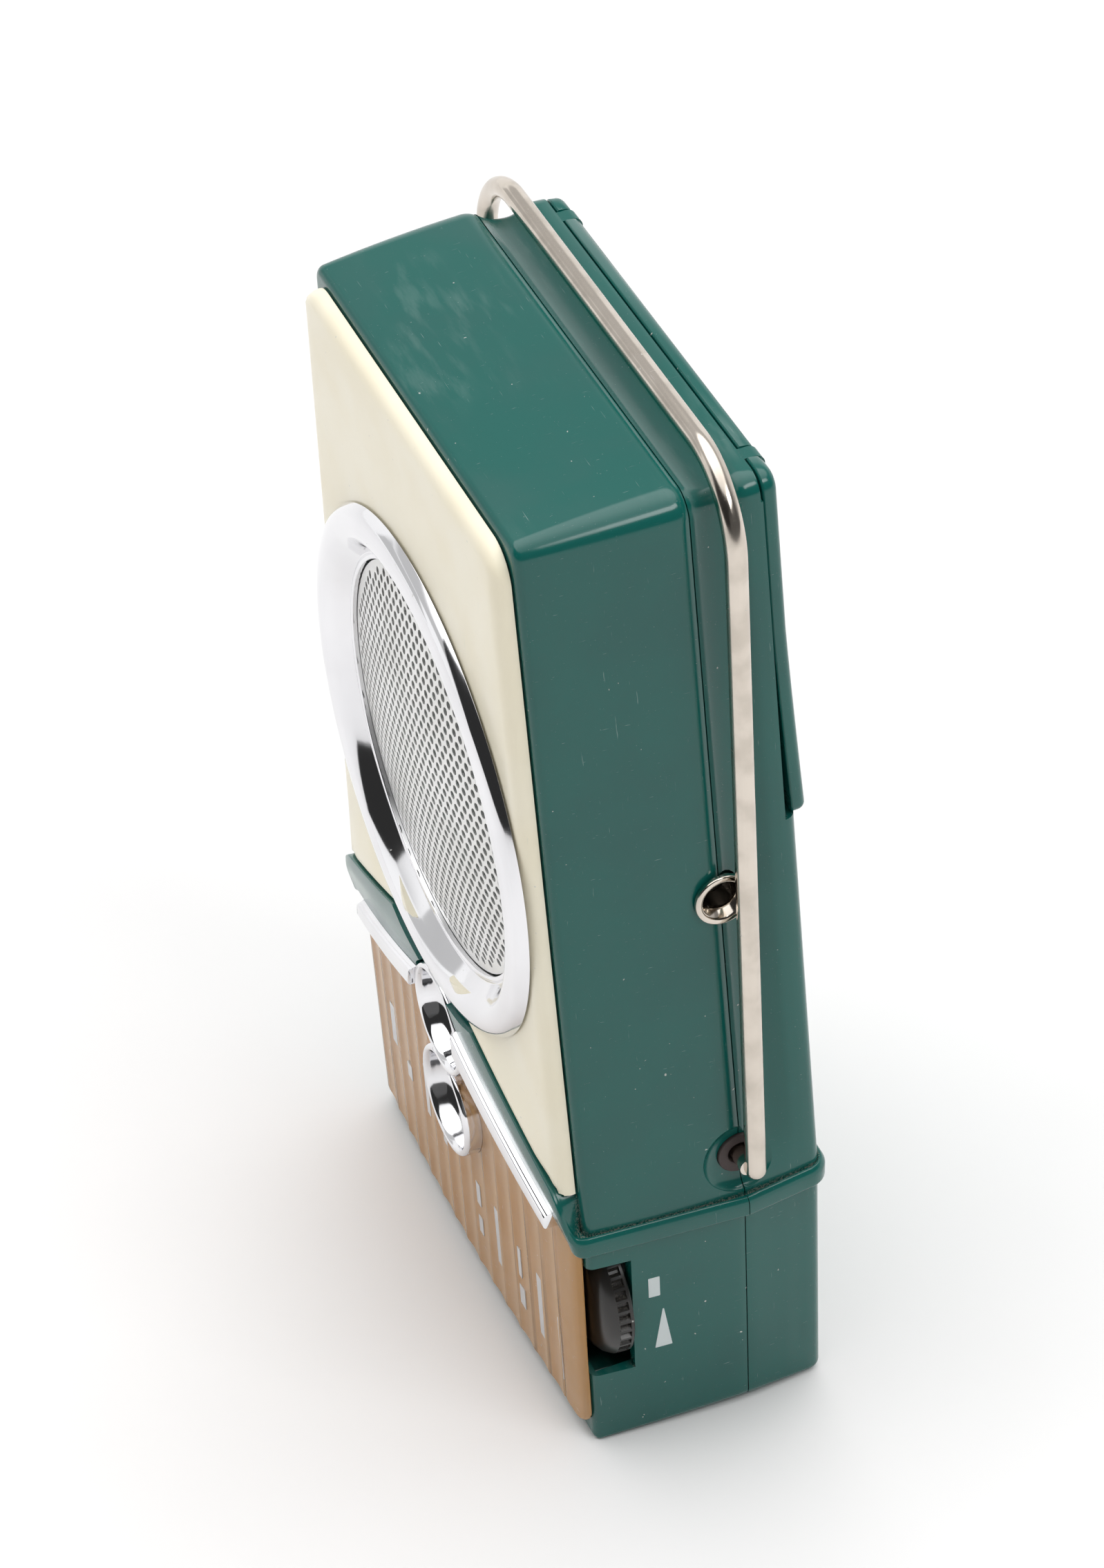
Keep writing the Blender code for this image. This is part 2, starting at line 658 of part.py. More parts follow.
def trim_rings():
    """Two short tubes, one above the other: the upper one overlaps the lower one's rim."""
    rim = RING_RADIUS / MM
    profile = [(rim, 4.6), (rim, 0.5), (rim - 1.2, 0.5), (rim - 1.2, 4.6), (rim - 0.6, 4.9)]
    for name, z in RING_CENTRES_Z.items():
        ring = turned(f"trim_ring_{name}", profile, (0, 0, z), -Y, CHROME, steps=32)
        if name == "lower":
            above = (0, 0, RING_CENTRES_Z["upper"])
            cut(ring, cylinder("ring_overlap", above, RING_RADIUS + GAP, 20 * MM, Y, CHROME, cutters, 32))


# ---------------------------------------------------------------- dial


def lens_y(x):
    """The lens's front surface: a shallow bulge that rolls back at its ends."""
    roll = 3.0 * MM
    y = LENS_EDGE_Y - LENS_BULGE * (1 - (x / LENS_HALF) ** 2)
    over = min(max(abs(x) - (LENS_HALF - roll), 0) / roll, 1)
    return y + (-LENS_EDGE_Y - 0.2 * MM) * (1 - math.sqrt(1 - over**2))


def dial_window():
    """A bulged clear plate under the V of the belt, with round holes for the trim's rings."""
    half = [0, 6, 12, 18, 24, 30, 36, 40, 41.8, 42.6, 43]
    rings = []
    for x in [-x * MM for x in reversed(half[1:])] + [x * MM for x in half]:
        foot_x = x * LENS_FOOT_HALF / LENS_HALF
        over = min(max(abs(foot_x) - (LENS_FOOT_HALF - LENS_CORNER), 0) / LENS_CORNER, 1)
        foot_z = LENS_FOOT_Z + LENS_CORNER * (1 - math.sqrt(1 - over**2))
        front = min(lens_y(x), -0.5 * MM)
        back = min(front + LENS_THICK, -GAP)
        top = lip_foot(x) - GAP
        section = ((foot_x, front, foot_z), (x, front, top), (x, back, top), (foot_x, back, foot_z))
        rings.append([Vector(point) for point in section])
    window = loft("dial_window", rings, LENS, smooth_angle=30)
    for name, z in RING_CENTRES_Z.items():
        hole = cylinder(f"{name}_ring_hole", (0, 0, z), RING_RADIUS + GAP, 12 * MM, Y, LENS, cutters, 32)
        cut(window, hole)
    return window


def dial_plate():
    half, _, top = (value / MM for value in DIAL_HOLE)
    return block("dial_plate", (0.4 - half, 0.35, 9.0), (half - 0.4, 1.0, top - 0.4), DIAL)


def dial_pointer():
    """A needle in front of the dial plate, on a foot that runs along its rail."""
    rail_z = RAIL_Z / MM
    needle = block("dial_pointer", (-0.35, -0.35, rail_z - 1.2), (0.35, 0.1, 27.0), WHITE)
    foot = block("pointer_foot", (-2.0, 0.0, rail_z - 1.3), (2.0, 1.9, rail_z + 1.3), WHITE, cutters)
    bore = cylinder("pointer_bore", (0, RAIL_Y, RAIL_Z), 0.75 * MM, 20 * MM, X, WHITE, cutters, 12)
    join(needle, foot)
    cut(needle, bore)
    cylinder("pointer_rail", (0, RAIL_Y, RAIL_Z), 0.45 * MM, 77 * MM, X, STEEL, sides=10)
    return needle


# ---------------------------------------------------------------- controls


def thumbwheel(name, centre, radius, teeth):
    """A ribbed disc with a recess in front, a bore for its screw and a socket for the shaft behind."""
    centre_x, centre_z = centre
    bm = bmesh.new()
    points = []
    for i in range(teeth * 2):
        r = radius - (0 if i % 2 else 0.6 * MM)
        a = 2 * math.pi * i / (teeth * 2)
        points.append(bm.verts.new((r * math.cos(a), 0, r * math.sin(a))))
    face = bm.faces.new(points)
    pulled = bmesh.ops.extrude_face_region(bm, geom=[face])
    moved = [v for v in pulled["geom"] if isinstance(v, bmesh.types.BMVert)]
    bmesh.ops.translate(bm, vec=(0, WHEEL_THICK, 0), verts=moved)
    wheel = from_bmesh(name, bm, BLACK)
    wheel.location = (centre_x, WHEEL_FRONT_Y, centre_z)
    middle = Vector((centre_x, WHEEL_FRONT_Y, centre_z))
    dish = cylinder(f"{name}_dish", middle, radius - 2.6 * MM, 1.6 * MM, Y, BLACK, cutters, 32)
    bore = cylinder(f"{name}_bore", middle, 1.5 * MM, 12 * MM, Y, BLACK, cutters, 12)
    socket = cylinder(f"{name}_socket", middle + Y * 4.6 * MM, 2.7 * MM, 4.0 * MM, Y, BLACK, cutters, 16)
    cut(wheel, dish, bore, socket)
    return wheel


def wheel_screw(name, centre):
    """A cheese-head screw that holds the wheel to its shaft."""
    x, z = centre
    profile = [(2.4, 0), (2.4, -0.9), (1.2, -0.9), (1.2, -2.3), (0, -2.3), (0, 0)]
    return turned(name, profile, (x, WHEEL_FRONT_Y - 0.1 * MM, z), -Y, BRASS, steps=20)


def wheel_shaft(body, name, centre):
    """The shaft that stands out of a control into the socket of its wheel."""
    x, z = centre
    near, far = WHEEL_FRONT_Y + 2.9 * MM, 8.0 * MM
    join(body, cylinder(name, (x, (near + far) / 2, z), 2.4 * MM, far - near, Y, STEEL, cutters, 16))


def volume_control():
    x, z = VOLUME_CENTRE
    pot = cylinder("volume_pot", (x, 9.6 * MM, z), 6.5 * MM, 5.2 * MM, Y, STEEL, sides=28)
    wheel_shaft(pot, "volume_shaft", VOLUME_CENTRE)
    return pot


def tuning_gang():
    x, z = (value / MM for value in TUNING_CENTRE)
    gang = block("tuning_capacitor", (x - 4.4, 7.0, z - 10), (x + 15.6, 12.6, z + 10), WHITE, bevel=0.6)
    wheel_shaft(gang, "tuning_shaft", TUNING_CENTRE)
    return gang


# ---------------------------------------------------------------- bail


def bail_path():
    """Half the bail's centre line: up the leg and round the corner to the crossbar."""
    foot, top = BAIL_FOOT, BAIL_TOP
    rise = (top - foot).normalized()
    across = Vector((-1, 0, 0))
    half_turn = rise.angle(across) / 2
    reach = BAIL_CORNER * math.tan(half_turn)
    start, end = top - rise * reach, top + across * reach
    inward = ((start + end) / 2 - top).normalized()
    centre = top + inward * (BAIL_CORNER / math.cos(half_turn))
    points = [foot, foot.lerp(start, 0.5), start]
    spoke_a, spoke_b = start - centre, end - centre
    total = spoke_a.angle(spoke_b)
    for i in range(1, 6):
        share = i / 6
        mixed = spoke_a * math.sin((1 - share) * total) + spoke_b * math.sin(share * total)
        points.append(centre + mixed / math.sin(total))
    points.append(end)
    return points


def carry_bail():
    right = bail_path()
    points = right + [Vector((-p.x, p.y, p.z)) for p in reversed(right)]
    curve = bpy.data.curves.new("carry_bail_wire", "CURVE")
    curve.dimensions = "3D"
    curve.bevel_depth = BAIL_WIRE
    curve.bevel_resolution = 3
    curve.use_fill_caps = True
    line = curve.splines.new("POLY")
    line.points.add(len(points) - 1)
    for point, place in zip(line.points, points):
        point.co = (*place, 1)
    wire = bpy.data.objects.new("carry_bail_wire", curve)
    bpy.context.scene.collection.objects.link(wire)
    bpy.context.view_layer.update()
    graph = bpy.context.evaluated_depsgraph_get()
    mesh = bpy.data.meshes.new_from_object(wire.evaluated_get(graph))
    bm = bmesh.new()
    bm.from_mesh(mesh)
    bmesh.ops.remove_doubles(bm, verts=bm.verts, dist=0.00001)
    pivot = Vector((0, PIVOT_Y, PIVOT_Z))
    bmesh.ops.translate(bm, vec=-pivot, verts=bm.verts)
    bpy.data.objects.remove(wire)
    bail = from_bmesh("carry_bail", bm, NICKEL, smooth_angle=50)
    bail.location = pivot
    for side in (-1, 1):
        start, end = 49.0 * MM, 41.0 * MM
        middle = (side * (start + end) / 2, PIVOT_Y, PIVOT_Z)
        join(bail, cylinder(f"bail_pin_{side}", middle, 1.5 * MM, start - end, X, NICKEL, cutters, 16))
    return bail


def bail_bush(name, side):
    """A flanged fibre bush that lines the bore on the seam."""
    wall = half_width(PIVOT_Z)
    profile = [(4.5, 0.9), (4.5, 0.0), (3.1, 0.0), (3.1, -3.6), (1.8, -3.6), (1.8, 0.9)]
    return turned(name, profile, (side * (wall - 0.7 * MM), PIVOT_Y, PIVOT_Z), X * side, FIBRE, steps=24)


def earphone_jack():
    """A countersunk eyelet on the seam, its barrel and its nut inside the case."""
    wall = half_width(JACK_Z)
    profile = [
        (4.1, 0.9),
        (4.1, 0.3),
        (3.0, 0.3),
        (3.0, -10),
        (2.2, -10),
        (2.2, -0.6),
        (3.1, 0.9),
    ]
    jack = turned("earphone_jack", profile, (wall, SEAM_Y, JACK_Z), X, NICKEL, steps=24)
    middle = Vector((wall - 5.4 * MM, SEAM_Y, JACK_Z))
    nut = cylinder("jack_nut", middle, 4.8 * MM, 1.8 * MM, X, STEEL, sides=6)
    cut(nut, cylinder("nut_bore", middle, 3.3 * MM, 6 * MM, X, STEEL, cutters, 24))
    return jack


# ---------------------------------------------------------------- works


def speaker():
    frame = [
        (32.0, -2.5),
        (32.0, -3.4),
        (28.0, -3.6),
        (15.0, -12.0),
        (5.0, -12.0),
        (5.0, -11.2),
        (14.4, -11.2),
        (26.8, -2.9),
        (26.8, -2.5),
    ]
    turned("speaker_frame", frame, (0, 0, SPEAKER_Z), -Y, STEEL, steps=36)
    cone = [(25.2, -2.9), (12.0, -10.2), (0.0, -8.6), (0.0, -8.0), (11.8, -9.4), (24.0, -2.7)]
    turned("speaker_cone", cone, (0, 0, SPEAKER_Z), -Y, PAPER, steps=30)
    cylinder("speaker_magnet", (0, 16.0 * MM, SPEAKER_Z), 13.0 * MM, 7.2 * MM, Y, STEEL, sides=32)


def circuit_board():
    """The board stands behind the controls; its lower corners clear the case posts."""
    low, high = BOARD_Y / MM, (BOARD_Y + BOARD_THICK) / MM
    half, foot, top = BOARD_HALF / MM, BOARD_FOOT_Z / MM, BOARD_TOP_Z / MM
    board = block("circuit_board", (-half, low, foot), (half, high, top), BOARD)
    for side in (-1, 1):
        ends = sorted((side * 29, side * 45))
        corner = block(f"board_corner_{side}", (ends[0], low - 1, 0), (ends[1], high + 1, 11.4), BOARD, cutters)
        cut(board, corner)
    for i, (x, z) in enumerate(BOARD_POSTS):
        cut(board, cylinder(f"board_hole_{i}", (x, BOARD_Y, z), 1.35 * MM, 8 * MM, Y, BOARD, cutters, 12))
        head = [(2.3, -14.9), (2.3, -16.1), (0, -16.1), (0, -8.5), (1.0, -8.5), (1.0, -14.9)]
        turned(f"board_screw_{i + 1}", head, (x, 0, z), -Y, STEEL, steps=14)
    return board


def board_parts():
    """Cans, transformers, transistors and electrolytics on the rear of the board."""
    y = BOARD_Y / MM + BOARD_THICK / MM + GAP / MM
    for i, (x, z) in enumerate(((-28, 46), (-14, 46), (0, 46), (14, 46))):
        block(f"if_can_{i + 1}", (x - 4.5, y, z - 4.5), (x + 4.5, y + 11, z + 4.5), ALUMINIUM, bevel=0.5)
    for i, (x, z) in enumerate((x, z) for z in (36, 26) for x in (-21, -7, 7, 21)):
        middle = (x * MM, (y + 3.5) * MM, z * MM)
        cylinder(f"transistor_{i + 1}", middle, 3.0 * MM, 7 * MM, Y, ALUMINIUM, sides=14)
    block("driver_transformer", (-28.5, y, 8), (-14.5, y + 11, 19), STEEL, bevel=0.6)
    block("output_transformer", (13.5, y, 8), (28.5, y + 12, 19), STEEL, bevel=0.6)
    for i, (x, z) in enumerate(((-7, 12), (3, 12), (33, 38))):
        middle = (x * MM, (y + 6) * MM, z * MM)
        cylinder(f"electrolytic_{i + 1}", middle, 3.6 * MM, 12 * MM, Y, SLEEVE, sides=16)


def aerial():
    """A ferrite rod across the case behind the speaker's foot, with its coil and two clips."""
    z, y = 63.5 * MM, 27.0 * MM
    cylinder("ferrite_rod", (0, y, z), 4.0 * MM, 72 * MM, X, FERRITE, sides=20)
    coil = [(5.6, 13), (5.6, -13), (4.3, -13), (4.3, 13)]
    turned("aerial_coil", coil, (-8 * MM, y, z), X, COIL, steps=20)
    for side, name in ((-1, "rod_clip_left"), (1, "rod_clip_right")):
        clip = block(name, (side * 24 - 1.3, 15.0, 53.0), (side * 24 + 1.3, 32.4, 69.0), WHITE)
        hole = cylinder(f"{name}_hole", (side * 24 * MM, y, z), 4.3 * MM, 10 * MM, X, WHITE, cutters, 20)
        cut(clip, hole)


def battery():
    block("battery", (-24.2, 14.8, 114.5), (24.2, 31.8, 141.0), SLEEVE, bevel=1.2)
    snap = block("battery_snap", (26.9, 16.0, 117.0), (29.6, 30.8, 138.5), BLACK, bevel=0.8)
    for i, z in enumerate((121.6, 133.8)):
        middle = (26.0 * MM, 23.4 * MM, z * MM)
        stud = cylinder(f"stud_{i}", middle, 3.4 * MM, 2.6 * MM, X, BLACK, cutters, 16)
        join(snap, stud)


def case_screws():
    """Two screws from the back, through the rear shell's bosses into the front shell's posts."""
    for i, (x, z) in enumerate(CASE_SCREWS):
        profile = [(2.8, 35.9), (2.8, 34.9), (1.1, 34.9), (1.1, 18.6), (0, 18.6), (0, 35.9)]
        turned(f"case_screw_{i + 1}", profile, (x, 0, z), Y, STEEL, steps=16)


front_case()
rear_case()
back_cover()
front_panel()
speaker_bezel()
speaker_grille()
trim_wing(-1, "trim_wing_left")
trim_wing(1, "trim_wing_right")
trim_rings()
dial_window()
dial_plate()
dial_pointer()
thumbwheel("volume_wheel", VOLUME_CENTRE, VOLUME_RADIUS, 40)
wheel_screw("volume_wheel_screw", VOLUME_CENTRE)
thumbwheel("tuning_wheel", TUNING_CENTRE, TUNING_RADIUS, 48)
wheel_screw("tuning_wheel_screw", TUNING_CENTRE)
volume_control()
tuning_gang()
carry_bail()
bail_bush("bail_bush_left", -1)
bail_bush("bail_bush_right", 1)
earphone_jack()
speaker()
circuit_board()
board_parts()
aerial()
battery()
case_screws()
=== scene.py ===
"""The looks of a transistor pocket radio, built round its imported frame.

Measures are in millimetres from the datum: the middle of the case's width, the plane of its front rim and the
height of its feet's corner. at() turns them into the frame's metres. The front faces -Y.
"""

from math import asin, atan2, cos, degrees, hypot, pi, radians, sin, sqrt, tan

import bmesh
import bpy
from mathutils import Matrix, Vector


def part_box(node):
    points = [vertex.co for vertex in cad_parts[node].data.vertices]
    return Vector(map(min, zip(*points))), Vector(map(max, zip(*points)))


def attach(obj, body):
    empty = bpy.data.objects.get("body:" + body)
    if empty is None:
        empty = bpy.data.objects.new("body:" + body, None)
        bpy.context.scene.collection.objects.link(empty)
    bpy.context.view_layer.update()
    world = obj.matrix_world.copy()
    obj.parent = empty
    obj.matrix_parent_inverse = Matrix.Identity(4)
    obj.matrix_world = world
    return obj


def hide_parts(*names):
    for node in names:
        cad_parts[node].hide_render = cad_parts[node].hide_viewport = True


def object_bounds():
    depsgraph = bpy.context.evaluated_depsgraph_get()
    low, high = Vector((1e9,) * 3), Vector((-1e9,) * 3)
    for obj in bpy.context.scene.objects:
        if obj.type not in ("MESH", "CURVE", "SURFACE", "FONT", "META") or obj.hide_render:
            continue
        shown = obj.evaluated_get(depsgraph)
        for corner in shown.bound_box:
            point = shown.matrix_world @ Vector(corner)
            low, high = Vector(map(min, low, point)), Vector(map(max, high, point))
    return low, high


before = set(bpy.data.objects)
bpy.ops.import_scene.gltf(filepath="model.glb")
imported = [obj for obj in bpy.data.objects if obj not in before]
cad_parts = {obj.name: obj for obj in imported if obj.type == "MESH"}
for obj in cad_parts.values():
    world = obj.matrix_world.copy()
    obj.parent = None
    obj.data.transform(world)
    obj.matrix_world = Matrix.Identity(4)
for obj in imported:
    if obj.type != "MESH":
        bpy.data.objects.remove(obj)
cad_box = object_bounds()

# The lens's direction and place, in degrees and metres.
CAMERA_AZIMUTH, CAMERA_ELEVATION, CAMERA_ROLL = 70.571, 39.667, 4.425
CAMERA_PLACE, FOCAL_LENGTH, SENSOR_WIDTH = (0.54588, -0.19273, 0.56834), 121.62, 36

MM = 0.001
X, Y, Z = Vector((1, 0, 0)), Vector((0, 1, 0)), Vector((0, 0, 1))

# Case.
HEIGHT = 161.0
FOOT_DROP = 1.0
HALF_TOP, HALF_BELT, HALF_BASE = 38.6, 45.8, 43.3
BELT_Z, BELT_FOOT_Z, BELT_PROUD = 43.5, 40.0, 1.5
# The belt's upper edge, nose and lower edge on the sides and back, as (inward from the nose, z).
BELT_EDGES = (0.55, BELT_Z), (0.0, BELT_Z - 0.9), (0.12, BELT_FOOT_Z)
BELT_DEEP, BELT_GUTTER = 2.6, 0.7
SEAM_Y, BACK_Y = 23.8, 36.2
FRONT_DRAFT, WALL, GAP = 1.8, 2.0, 0.3
TOP_RADIUS, BASE_RADIUS = 4.2, 2.5
SEAM_GAP = 0.14
COVE_DEPTH, SEAM_ROLL = 1.7, 0.45

# Front.
PANEL_Y, PANEL_INSET = -2.7, 3.1
# Beyond this x the panel's foot keeps the lip's height and depth.
PANEL_LIP_X = 41
SPEAKER_Z = 96.7
BEZEL_RADIUS, GRILLE_RADIUS, SPEAKER_HOLE, PANEL_HOLE = 39.1, 30.3, 30.5, 33.2
RING_RADIUS, RING_Z = 8.8, {"upper": 50.3, "lower": 34.2}
LIP_HALF, LIP_BULGE_HALF, LIP_END, LIP_ROLL, LIP_DROP_START = 44.0, 46.0, 45.4, 3.5, 40.0
LIP_EDGES = {
    "upper": {"y": -2.9, "bulge": 2.3, "z": 49.0, "slope": 0.405, "end_z": 43.5},
    "nose": {"y": -3.0, "bulge": 2.1, "z": 46.5, "slope": 0.375, "end_z": 43.2},
    "lower": {"y": -1.6, "bulge": 3.1, "z": 41.0, "slope": 0.375, "end_z": 40.2},
}
WING_EDGE, WING_END = {"y": -2.8, "bulge": 3.1, "z": 38.3, "slope": 0.34}, 37.5
LENS_HALF, LENS_FOOT_HALF, LENS_FOOT_Z, LENS_CORNER = 43.0, 41.5, 2.0, 3.5
LENS_EDGE_Y, LENS_BULGE, LENS_THICK, LENS_ROLL = -1.2, 1.2, 1.3, 3.0
FLUTE_PITCH, FLUTE_DEPTH, FLUTE_END = 5.4, 0.22, 36.0
DIAL_HOLE = (39.0, 5.5, 39.4)
NOTCH_Z, NOTCH_BACK_Y = (13.2, 36.0), 6.5
POCKET_X, POCKET_Y, POCKET_SPARE = (28.0, 41.3), (0.9, 9.0), 2.6

# Wheels, bail, jack and cover.
WHEELS = {
    "volume": {"centre": (34.2, 24.6), "radius": 11.5, "ribs": 40},
    "tuning": {"centre": (-32.2, 24.6), "radius": 13.1, "ribs": 48},
}
WHEEL_FRONT_Y, WHEEL_THICK = 1.4, 4.6
BAIL_WIRE, BAIL_CORNER = 1.54, 12.0
BAIL_FOOT, BAIL_TOP = Vector((48.2, 24.6, 48.2)), Vector((42.9, 28.3, 164.2))
PIVOT_Z, DISH_RADIUS, JACK_Z = 50.2, 5.8, 96.3
COVER_FOOT_Z, COVER_SEAT_Y, COVER_FRONT_Y, COVER_BACK_Y = 105.0, 34.2, 34.5, 36.8
COVER_KNEE_Z, COVER_FLARE = 135.0, 1.0
HINGE_Y, HINGE_Z, HINGE_EARS_X, KNUCKLE = 35.65, 158.0, 31.0, 1.55
BAY_HALF, BAY_LOW, BAY_HIGH = 30.0, 107.0, 148.0
BOARD_Y = 13.0
BOARD_POSTS = ((-33, 55), (33, 55), (0, 4.9))
CASE_SCREWS = ((-33.5, 4.7), (33.5, 4.7))

# Angles round a quarter circle.
QUARTER = [radians(15 * i) for i in range(7)]

# The datum in the frame: the front shell ends half a gap before the seam, and stands on its feet.
front_low, front_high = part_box("front_case")
DATUM = Vector((0, front_high.y - (SEAM_Y - GAP / 2) * MM, front_low.z + FOOT_DROP * MM))


def at(x, y, z):
    return DATUM + Vector((x, y, z)) * MM


def linked(name, data):
    """A new object in the scene."""
    obj = bpy.data.objects.new(name, data)
    bpy.context.scene.collection.objects.link(obj)
    return obj


# ---- camera


def camera():
    """A long lens, high on the radio's right-hand side."""
    azimuth, elevation, roll = map(radians, (CAMERA_AZIMUTH, CAMERA_ELEVATION, CAMERA_ROLL))
    back = Vector((
        sin(azimuth) * cos(elevation),
        -cos(azimuth) * cos(elevation),
        sin(elevation),
    ))
    level = (-back).cross(Z).normalized()
    down = (-back).cross(level)
    right = cos(roll) * level + sin(roll) * down
    up = sin(roll) * level - cos(roll) * down
    view = linked("camera", bpy.data.cameras.new("camera"))
    view.matrix_world = Matrix((right, up, back)).transposed().to_4x4()
    view.location = CAMERA_PLACE
    view.data.lens = FOCAL_LENGTH
    view.data.sensor_width = SENSOR_WIDTH
    view.data.clip_end = 50
    bpy.context.scene.camera = view


# ---- materials


def node(tree, kind, inputs=None, **settings):
    """Adds a shader node: a socket given as an input is linked, anything else is its value."""
    fresh = tree.nodes.new(kind)
    for key, value in settings.items():
        setattr(fresh, key, value)
    for key, value in (inputs or {}).items():
        if isinstance(value, bpy.types.NodeSocket):
            tree.links.new(value, fresh.inputs[key])
        else:
            fresh.inputs[key].default_value = value
    return fresh


def mixed(tree, share, first, second):
    """A colour mix: first where share is 0, second where it is 1."""
    colours = [c if isinstance(c, bpy.types.NodeSocket) else (*c, 1) for c in (first, second)]
    return node(
        tree, "ShaderNodeMix", {0: share, 6: colours[0], 7: colours[1]}, data_type="RGBA"
    ).outputs[2]


def sums(tree, kind, *values):
    return node(tree, "ShaderNodeMath", dict(enumerate(values)), operation=kind).outputs[0]


def times(tree, first, *rest):
    for value in rest:
        first = sums(tree, "MULTIPLY", first, value)
    return first


def stepped(tree, value, low, high, bottom=0.0, top=1.0):
    """Maps value from low..high to bottom..top with soft ends."""
    span = {"Value": value, "From Min": low, "From Max": high, "To Min": bottom, "To Max": top}
    return node(tree, "ShaderNodeMapRange", span, interpolation_type="SMOOTHSTEP").outputs["Result"]


def noise(tree, place, scale, detail=3.0, stretch=(1, 1, 1), turn=(0, 0, 0)):
    """Noise over the piece, scale in cells per metre, before stretch squeezes it along each axis."""
    spin = [radians(a) for a in turn]
    mapped = node(tree, "ShaderNodeMapping", {"Vector": place, "Scale": stretch, "Rotation": spin})
    pattern = {"Vector": mapped.outputs[0], "Scale": scale, "Detail": detail}
    return node(tree, "ShaderNodeTexNoise", pattern).outputs["Fac"]


def scratches(tree, place, amount):
    """Fine straight scratches at several angles, sparse: 1 on a scratch, 0 elsewhere."""
    total = None
    for turn, stretch, scale in (
        ((20, 35, 10), (1, 26, 26), 180),
        ((-35, 10, 60), (30, 1, 30), 210),
        ((5, -50, 25), (22, 22, 1), 150),
    ):
        lines = stepped(tree, noise(tree, place, scale, 2, stretch, turn), 0.74 - 0.06 * amount, 0.80)
        total = lines if total is None else sums(tree, "MAXIMUM", total, lines)
    return total


def finish(
    name, colour, shade, rough, metallic=0.0, spread=0.08, blotch=60, grain=1500, bump=0.03, wear=0.0,
    specks=0.0, dust=0.0, scuffs=0.0, dust_colour=(0.42, 0.38, 0.32), pattern=None, **shader_values,
):
    """A worn, slightly uneven surface: colour varies towards shade, and roughness over spread.

    blotch and grain are the sizes of the variation in cells per metre. wear (scratches), specks, dust
    (a colour in the corners: dirt where it is paler than the piece, painted shade where darker) and scuffs
    (haze on what faces up) are 0 to 1.
    """
    material = bpy.data.materials.new(name)
    material.use_nodes = True
    tree = material.node_tree
    shader = tree.nodes["Principled BSDF"]
    place = node(tree, "ShaderNodeTexCoord").outputs["Object"]
    patches = stepped(tree, noise(tree, place, blotch), 0.35, 0.7)
    base = pattern(tree, place) if pattern else colour
    base = mixed(tree, times(tree, patches, 0.7), base, shade)
    fine = noise(tree, place, grain, 4)
    roughness = sums(tree, "MULTIPLY_ADD", patches, spread, rough - spread / 2)
    height = times(tree, fine, 0.4)
    if wear:
        lines = times(tree, scratches(tree, place, wear), min(0.35 + wear / 2, 1))
        pale = (0.45, 0.55, 0.53) if metallic < 0.5 else (0.55, 0.55, 0.55)
        base = mixed(tree, times(tree, lines, 0.5), base, pale)
        roughness = sums(tree, "MULTIPLY_ADD", lines, 0.25, roughness)
        height = sums(tree, "SUBTRACT", height, lines)
    if specks:
        dots = stepped(tree, noise(tree, place, 1100, 1), 0.80 - 0.04 * specks, 0.83)
        base = mixed(tree, times(tree, dots, 0.7), base, (0.62, 0.62, 0.58))
        roughness = sums(tree, "MULTIPLY_ADD", dots, 0.3, roughness)
    if scuffs:
        normal = node(tree, "ShaderNodeNewGeometry").outputs["Normal"]
        upward = stepped(tree, node(tree, "ShaderNodeSeparateXYZ", {0: normal}).outputs["Z"], 0.75, 0.98)
        hazy = stepped(tree, noise(tree, place, 30, 3, (1, 1.6, 1), (0, 0, 25)), 0.50, 0.72)
        streaks = stepped(tree, noise(tree, place, 260, 9, (0.45, 2.2, 1), (0, 0, -35)), 0.44, 0.70)
        haze = times(tree, hazy, streaks, upward, scuffs)
        base = mixed(tree, haze, base, (0.45, 0.55, 0.52))
        roughness = sums(tree, "MULTIPLY_ADD", haze, 0.35, roughness)
    # The corner colour goes where ambient occlusion finds a hollow: where it is darker than the piece it is
    # painted shade.
    if dust:
        reach = {"Distance": 1.6 * MM}
        hidden = node(tree, "ShaderNodeAmbientOcclusion", reach, samples=6, only_local=True)
        deep = stepped(tree, hidden.outputs["AO"], 0.75, 0.35)
        grit = stepped(tree, noise(tree, place, 3600, 3), 0.42, 0.66)
        grime_and_shade = times(tree, deep, grit, dust)
        base = mixed(tree, grime_and_shade, base, dust_colour)
        roughness = sums(tree, "MULTIPLY_ADD", grime_and_shade, 0.5, roughness)
        height = sums(tree, "MULTIPLY_ADD", grime_and_shade, 0.6, height)
    tree.links.new(base, shader.inputs["Base Color"])
    tree.links.new(sums(tree, "MINIMUM", roughness, 1.0), shader.inputs["Roughness"])
    relief = node(tree, "ShaderNodeBump", {"Height": height, "Strength": bump, "Distance": 0.1 * MM})
    tree.links.new(relief.outputs["Normal"], shader.inputs["Normal"])
    shader.inputs["Metallic"].default_value = metallic
    for key, value in shader_values.items():
        shader.inputs[key.replace("_", " ")].default_value = value
    return material


